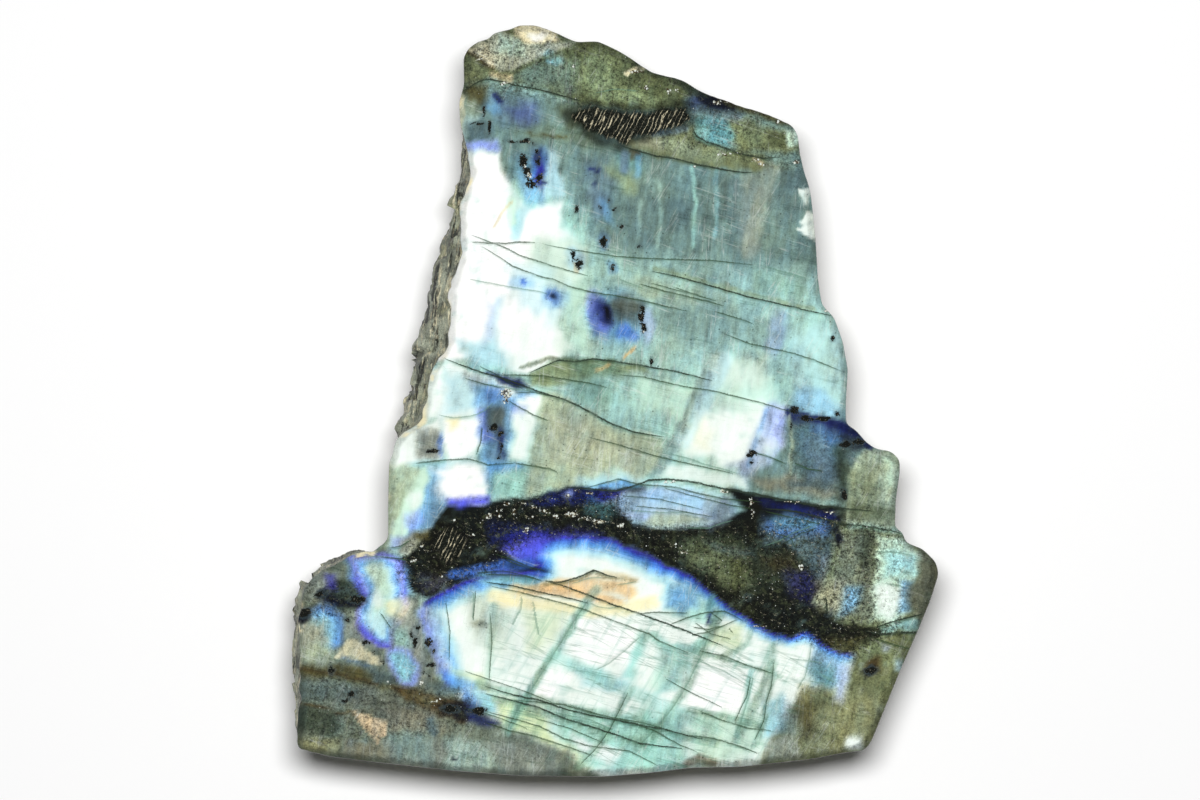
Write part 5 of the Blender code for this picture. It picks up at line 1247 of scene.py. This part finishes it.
grain = bpy.data.node_groups.new("mineral grain", "ShaderNodeTree")
grain.interface.new_socket("Place", in_out="INPUT", socket_type="NodeSocketVector")
GRAINS = ("Streak", "Mottle", "Grain", "Scratch", "Trace", "Speck", "Flake")
for name in GRAINS:
    grain.interface.new_socket(name, in_out="OUTPUT", socket_type="NodeSocketFloat")
place = add_node(grain, "NodeGroupInput").outputs["Place"]
leaving = add_node(grain, "NodeGroupOutput")
streak = noise(grain, stretched(grain, place, 8, (1.0, 0.14, 0.3)), 1.0, 5.0, 0.65)
mottle = noise(grain, place, 0.55, 5.0, 0.65)
fine = noise(grain, place, 3.4, 3.0, 0.65)
scratch = maths(grain, "MAXIMUM", scratches(grain, place, -58, 0.9, 0.02, 0.55),
                scratches(grain, place, 20, 0.8, 0.02, 0.56))
scratch = maths(grain, "MAXIMUM", scratch, scratches(grain, place, -86, 0.9, 0.02, 0.54))
trace = scratches(grain, place, 13, 0.5, 0.03, 0.5)
speck_distance, speck_chance = cells(grain, place, 0.9)
speck = between(grain, speck_distance, 0.2, 0.1)
speck = times(grain, speck, between(grain, speck_chance, 0.6, 0.9))
bent = stretched(grain, place, 10, (1.0, 0.5, 0.5))
bent = joined(grain, "ShaderNodeVectorMath", (bent, None), operation="ADD")
wander = add_node(grain, "ShaderNodeTexNoise", Scale=0.7, Detail=3.0)
grain.links.new(place, wander.inputs["Vector"])
grain.links.new(wander.outputs["Color"], bent.node.inputs[1])
flake = cells(grain, bent, 0.62)[1]
for name, source in zip(GRAINS, (streak, mottle, fine, scratch, trace, speck, flake)):
    grain.links.new(source, leaving.inputs[name])


def millimetres(tree):
    """The Object coordinates in millimetres."""
    place = add_node(tree, "ShaderNodeTexCoord").outputs["Object"]
    return joined(tree, "ShaderNodeVectorMath", (place, (1000, 1000, 1000)), operation="MULTIPLY")


def grain_of(tree, place):
    """The mineral grain group's outputs at a place."""
    node = add_node(tree, "ShaderNodeGroup", {"node_tree": grain})
    tree.links.new(place, node.inputs["Place"])
    return node.outputs


def attribute(tree, name, output="Fac"):
    """A named attribute's value, colour or vector."""
    return add_node(tree, "ShaderNodeAttribute", {"attribute_name": name}).outputs[output]


def three_parts(tree, vector):
    """The three values of a vector."""
    node = add_node(tree, "ShaderNodeSeparateXYZ")
    tree.links.new(vector, node.inputs["Vector"])
    return list(node.outputs)


polished = bpy.data.materials.new("polished labradorite")
polished.use_nodes = True
tree = polished.node_tree
principled = tree.nodes["Principled BSDF"]
place = millimetres(tree)
grains = grain_of(tree, place)
tone = attribute(tree, "tone", "Color")
ore_depth, pale_depth, glitter_share = three_parts(tree, attribute(tree, "marks", "Vector"))

# The lamellae's own variation, which a full flash outshines
luminance = add_node(tree, "ShaderNodeRGBToBW")
tree.links.new(tone, luminance.inputs["Color"])
shown = between(tree, luminance.outputs["Val"], 0.78, 0.4)
swing = weighed(tree, (grains["Streak"], 1.3), (grains["Mottle"], 1.2), (grains["Grain"], 1.0),
                (grains["Flake"], 0.14))
crushed = noise(tree, place, 1.3, 6.0, 0.8)
coarse = times(tree, weighed(tree, (crushed, 7.5), (grains["Grain"], 3.0)), glitter_share)
swing = maths(tree, "ADD", swing, coarse)
amount = maths(tree, "ADD", times(tree, shown, 0.85), 0.15)
factor = maths(tree, "MAXIMUM", maths(tree, "ADD", times(tree, swing, amount), 1.0), 0.15)
hue = between(tree, noise(tree, stretched(tree, place, 8, (1.0, 0.4, 0.5)), 0.45, 4.0, 0.7), 0.34, 0.66)
drifted = blended(tree, hue, (0.95, 1.0, 1.04, 1), (1.04, 1.01, 0.93, 1))
drifted = blended(tree, amount, (1, 1, 1, 1), drifted)
colour = blended(tree, 1.0, tone, drifted, "MULTIPLY")
colour = joined(tree, "ShaderNodeVectorMath", (colour, None), operation="SCALE")
tree.links.new(factor, colour.node.inputs["Scale"])

# Inside the lower flash, fine green lines cross at right angles
lattice_share = attribute(tree, "lattice")
crossing = None
for turn, scale, low, high in ((30, (1.0, 0.05, 0.5), 0.5, 0.34), (14, (0.06, 1.0, 0.5), 0.48, 0.34)):
    band = between(tree, noise(tree, stretched(tree, place, turn, scale), 0.7, 4.0, 0.65), low, high)
    crossing = band if crossing is None else maths(tree, "MAXIMUM", crossing, band)
crossing = times(tree, crossing, lattice_share)
colour = blended(tree, times(tree, crossing, 0.45), colour, shade_linear("aqua"), "MULTIPLY")
for turn, spacing, thin in ((13, 0.5, 0.022), (29, 0.32, 0.016)):
    line = times(tree, scratches(tree, place, turn, spacing, thin, 0.44), lattice_share)
    colour = blended(tree, times(tree, line, 0.5), colour, shade_linear("jade"))

# Fine pale scratches, darker cleavage traces and sparse dark specks
pale_scratch = times(tree, grains["Scratch"], between(tree, luminance.outputs["Val"], 0.0, 0.3))
colour = blended(tree, times(tree, pale_scratch, 0.3), colour, shade_linear("milk"))
traced = times(tree, grains["Trace"], maths(tree, "MULTIPLY_ADD", shown, 0.25, 0.05))
colour = blended(tree, traced, colour, shade_linear("jade"), "MULTIPLY")
specked = times(tree, grains["Speck"], maths(tree, "MULTIPLY_ADD", shown, 0.6, 0.05))
colour = blended(tree, specked, colour, shade_linear("bottle"))

# Cleavage cracks, each as wide as its attribute says, ragged, with a soft shade on its lower side
ragged = weighed(tree, (grains["Grain"], 1.8), (grains["Mottle"], 2.4))
broken_up = between(tree, grains["Mottle"], 0.3, 0.55)
cracked = None
for name, strength, tint in (("faint_cracks", 0.5, "jade"), ("mid_cracks", 0.75, "fern"),
                             ("dark_cracks", 0.95, "bottle")):
    line = None
    shaded = None
    for channel in three_parts(tree, attribute(tree, name, "Vector")):
        moved = maths(tree, "ADD", channel, ragged)
        one_line = between(tree, maths(tree, "ABSOLUTE", moved), 1.15, 0.3)
        one_shade = times(tree, between(tree, moved, -4.4, -0.4), between(tree, moved, 1.0, 0.0))
        line = one_line if line is None else maths(tree, "MAXIMUM", line, one_line)
        shaded = one_shade if shaded is None else maths(tree, "MAXIMUM", shaded, one_shade)
    line = times(tree, line, maths(tree, "ADD", times(tree, broken_up, 0.5), 0.5))
    line = times(tree, line, strength)
    shaded = times(tree, shaded, 0.5 * strength)
    colour = blended(tree, shaded, colour, shade_linear("jade"), "MULTIPLY")
    colour = blended(tree, line, colour, shade_linear(tint))
    cracked = line if cracked is None else maths(tree, "MAXIMUM", cracked, line)

# In the dark vein the broken grains show olive and slate, and their faces glitter: the glints are painted
# highlights, small milk and ochre dots laid into the colour
clump = between(tree, noise(tree, place, 0.8, 5.0, 0.75), 0.5, 0.7)
colour = blended(tree, times(tree, times(tree, clump, glitter_share), 0.5), colour,
                 shade_linear("moss"))
crowded = maths(tree, "POWER", glitter_share, 2.0)
for low, high, strength, tint, key in ((0.58, 0.68, 0.55, "beige", 0), (0.43, 0.35, 0.7, "pitch", 40)):
    moved = joined(tree, "ShaderNodeVectorMath", (place, (key, key, 0)), operation="ADD")
    fleck = between(tree, noise(tree, stretched(tree, moved, 20, (0.6, 1.0, 1.0)), 1.5, 5.0, 0.8), low, high)
    fleck = times(tree, times(tree, fleck, crowded), strength)
    colour = blended(tree, fleck, colour, shade_linear(tint))
far, chosen = cells(tree, place, 1.7)
facing = maths(tree, "ADD", far, weighed(tree, (grains["Grain"], 0.5)))
painted_glint_share = times(tree, between(tree, facing, 0.2, 0.08), between(tree, chosen, 0.6, 0.95))
painted_glint_share = times(tree, painted_glint_share, glitter_share)
painted_glint_share = times(tree, painted_glint_share, between(tree, grains["Mottle"], 0.38, 0.6))
glint = blended(tree, chosen, shade_linear("ochre"), shade_linear("milk"))
colour = blended(tree, painted_glint_share, colour, glint)

# The striated pockets: dark floors, with the bright edges of the twin striae painted in cream as painted
# highlights
STRIAE_TURN, STRIAE_RATE = 26, 7.6
striated = attribute(tree, "striated")
slanted = stretched(tree, place, STRIAE_TURN, (1.0, 0.2, 0.3))
wobble = times(tree, noise(tree, slanted, 0.6, 5.0, 0.7), 20.0)
across = times(tree, three_parts(tree, slanted)[0], STRIAE_RATE)
wave = maths(tree, "SINE", maths(tree, "ADD", across, wobble))
stria = between(tree, wave, 0.78, 1.0)
gaps = noise(tree, stretched(tree, place, STRIAE_TURN, (1, 0.4, 1)), 0.9, 4.0, 0.7)
stria = times(tree, stria, between(tree, gaps, 0.4, 0.62))
floor = between(tree, grains["Grain"], 0.5, 0.8)
floor = blended(tree, floor, shade_linear("pitch"), shade_linear("stone grey"))
floor = blended(tree, stria, floor, shade_linear("cream"))
colour = blended(tree, striated, colour, floor)

# Black ore plates and pale crumbs, each made of whole angular grains
grain_chance = cells(tree, place, 1.35)[1]
ragged = weighed(tree, (grain_chance, 0.5), (grains["Grain"], 1.6), (grains["Mottle"], 1.4))
ore_edge = maths(tree, "ADD", ore_depth, ragged)
ore = between(tree, ore_edge, 0.0, 0.16)
ore_halo = times(tree, between(tree, ore_edge, -0.7, 0.1), 0.4)
colour = blended(tree, ore_halo, colour, shade_linear("slate"))
ore_fleck = times(tree, between(tree, grains["Grain"], 0.6, 0.68), 0.7)
colour = blended(tree, ore, colour, blended(tree, ore_fleck, shade_linear("pitch"), shade_linear("taupe")))
crumb_distance, crumb_chance = cells(tree, place, 2.1)
pale_edge = maths(tree, "ADD", pale_depth, weighed(tree, (crumb_chance, 0.5), (grains["Grain"], 1.2)))
pale = between(tree, pale_edge, 0.0, 0.14)
crumb = blended(tree, crumb_chance, shade_linear("beige"), shade_linear("milk"))
crumb = blended(tree, between(tree, crumb_distance, 0.4, 0.62), crumb, shade_linear("umber"))
colour = blended(tree, times(tree, pale, 0.92), colour, crumb)
tree.links.new(colour, principled.inputs["Base Color"])

wear = maths(tree, "ADD", times(tree, striated, 0.3), 0.2)
wear = maths(tree, "ADD", wear, times(tree, grains["Grain"], 0.08))
tree.links.new(wear, principled.inputs["Roughness"])
principled.inputs["Specular IOR Level"].default_value = 0.3
relief = maths(tree, "SUBTRACT", times(tree, stria, striated), cracked)
glitter = times(tree, weighed(tree, (grains["Grain"], 0.8)), glitter_share)
relief = maths(tree, "ADD", relief, glitter)
bump = add_node(tree, "ShaderNodeBump", Strength=0.35, Distance=0.0002)
tree.links.new(relief, bump.inputs["Height"])
tree.links.new(bump.outputs["Normal"], principled.inputs["Normal"])

broken = bpy.data.materials.new("broken labradorite")
broken.use_nodes = True
tree = broken.node_tree
principled = tree.nodes["Principled BSDF"]
place = millimetres(tree)
grains = grain_of(tree, place)
shade = attribute(tree, "splinter_shade")
colour = blended(tree, shade, shade_linear("stone grey"), shade_linear("ash"))
rusty = between(tree, noise(tree, place, 0.2, 3.0), 0.5, 0.66)
colour = blended(tree, times(tree, rusty, 0.5), colour, shade_linear("khaki"))
# Streaks along the fibres: the beige, cream and sand ones are partly the stone's pale grains and partly
# painted highlight on splinter edges, the pitch and ink ones partly dark mineral and partly painted shade in
# the gaps
fibre = stretched(tree, place, 7, (0.9, 0.13, 0.4))
for low, high, strength, tint, scale in ((0.54, 0.6, 0.9, "beige", 0.9), (0.6, 0.68, 0.95, "cream", 0.9),
                                         (0.48, 0.42, 0.9, "pitch", 0.7), (0.56, 0.62, 0.4, "sand", 2.0),
                                         (0.46, 0.38, 0.55, "ink", 1.6)):
    streaks = between(tree, noise(tree, fibre, scale, 5.0, 0.75), low, high)
    colour = blended(tree, times(tree, streaks, strength), colour, shade_linear(tint))
factor = maths(tree, "ADD", weighed(tree, (grains["Grain"], 2.4), (grains["Mottle"], 2.0)), 1.2)
colour = joined(tree, "ShaderNodeVectorMath", (colour, None), operation="SCALE")
tree.links.new(factor, colour.node.inputs["Scale"])
tree.links.new(colour, principled.inputs["Base Color"])
principled.inputs["Roughness"].default_value = 0.5
principled.inputs["Specular IOR Level"].default_value = 0.4
bump = add_node(tree, "ShaderNodeBump", Strength=0.6, Distance=0.0004)
height = weighed(tree, (grains["Mottle"], 1.0), (grains["Grain"], 0.5))
tree.links.new(height, bump.inputs["Height"])
tree.links.new(bump.outputs["Normal"], principled.inputs["Normal"])

stone_mesh.materials.append(polished)
stone_mesh.materials.append(broken)
SHARP_ANGLE = 32
rows = np.repeat(np.arange(ring_count - 1), RING_POINTS)
numbers = np.concatenate([np.zeros(len(face_quads), int), (rows >= EASED_RINGS - 1).astype(int),
                          np.ones(len(closing), int)])
stone_mesh.polygons.foreach_set("material_index", numbers)
stone_mesh.polygons.foreach_set("use_smooth", np.ones(len(numbers), bool))
stone_mesh.set_sharp_from_angle(angle=np.radians(SHARP_ANGLE))

# The studio: a pale table, one soft light high above and a little beyond the head, a pale room, and
# a long lens straight above. The table and the light are sized in metres.

TABLE_HALF = 3.0
TABLE_CORNERS = [(-TABLE_HALF, -TABLE_HALF, 0), (TABLE_HALF, -TABLE_HALF, 0), (TABLE_HALF, TABLE_HALF, 0),
                 (-TABLE_HALF, TABLE_HALF, 0)]
table_mesh = bpy.data.meshes.new("studio_table")
table_mesh.from_pydata(TABLE_CORNERS, [], [(0, 1, 2, 3)])
table = bpy.data.objects.new("studio_table", table_mesh)
bpy.context.scene.collection.objects.link(table)
table_paint = bpy.data.materials.new("table white")
table_paint.use_nodes = True
table_shader = table_paint.node_tree.nodes["Principled BSDF"]
table_shader.inputs["Base Color"].default_value = (0.95, 0.95, 0.95, 1)
table_shader.inputs["Roughness"].default_value = 0.9
table_shader.inputs["Specular IOR Level"].default_value = 0.0
table_mesh.materials.append(table_paint)
table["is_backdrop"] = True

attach(stone, "root")
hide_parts("labradorite_chunk")

# The picture is 240 mm wide at the polished face, and its middle is just left of the frame's origin
LENS, SENSOR_WIDTH, PICTURE_WIDTH = 200, 36, 240.0
PICTURE_MIDDLE = (-2.8, 0.2)
camera_data = bpy.data.cameras.new("camera")
camera_data.lens = LENS
camera = bpy.data.objects.new("camera", camera_data)
camera_height = THICKNESS + PICTURE_WIDTH * LENS / SENSOR_WIDTH
camera.location = (PICTURE_MIDDLE[0] * MM, PICTURE_MIDDLE[1] * MM, camera_height * MM)
bpy.context.scene.collection.objects.link(camera)
bpy.context.scene.camera = camera

# The softbox is wider across the stone than along it, which sets how soft each side's shadow is
LIGHT_HEIGHT, LIGHT_WIDTH, LIGHT_LENGTH = 1.0, 0.27, 0.165
LIGHT_LEAN = 4.9
LIGHT_WATTS = 10.2
ROOM_SEEN, ROOM_AMBIENT, ROOM_GLOSS = 0.94, 0.06, 0.24
light_data = bpy.data.lights.new("softbox", "AREA")
light_data.shape = "ELLIPSE"
light_data.size = LIGHT_WIDTH
light_data.size_y = LIGHT_LENGTH
light_data.energy = LIGHT_WATTS
light = bpy.data.objects.new("softbox", light_data)
light.location = (0, LIGHT_HEIGHT * np.tan(np.radians(LIGHT_LEAN)), LIGHT_HEIGHT)
light.rotation_euler = (-np.radians(LIGHT_LEAN), 0, 0)
light.visible_glossy = False
light.visible_camera = False
bpy.context.scene.collection.objects.link(light)
world = bpy.data.worlds.new("studio")
world.use_nodes = True
world.node_tree.nodes["Background"].inputs["Color"].default_value = (1, 1, 1, 1)
rays = add_node(world.node_tree, "ShaderNodeLightPath")
seen = maths(world.node_tree, "MULTIPLY_ADD", rays.outputs["Is Camera Ray"], ROOM_SEEN, ROOM_AMBIENT)
seen = maths(world.node_tree, "MULTIPLY_ADD", rays.outputs["Is Glossy Ray"], ROOM_GLOSS, seen)
world.node_tree.links.new(seen, world.node_tree.nodes["Background"].inputs["Strength"])
bpy.context.scene.world = world
bpy.context.scene.view_settings.view_transform = "Standard"

low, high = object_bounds()
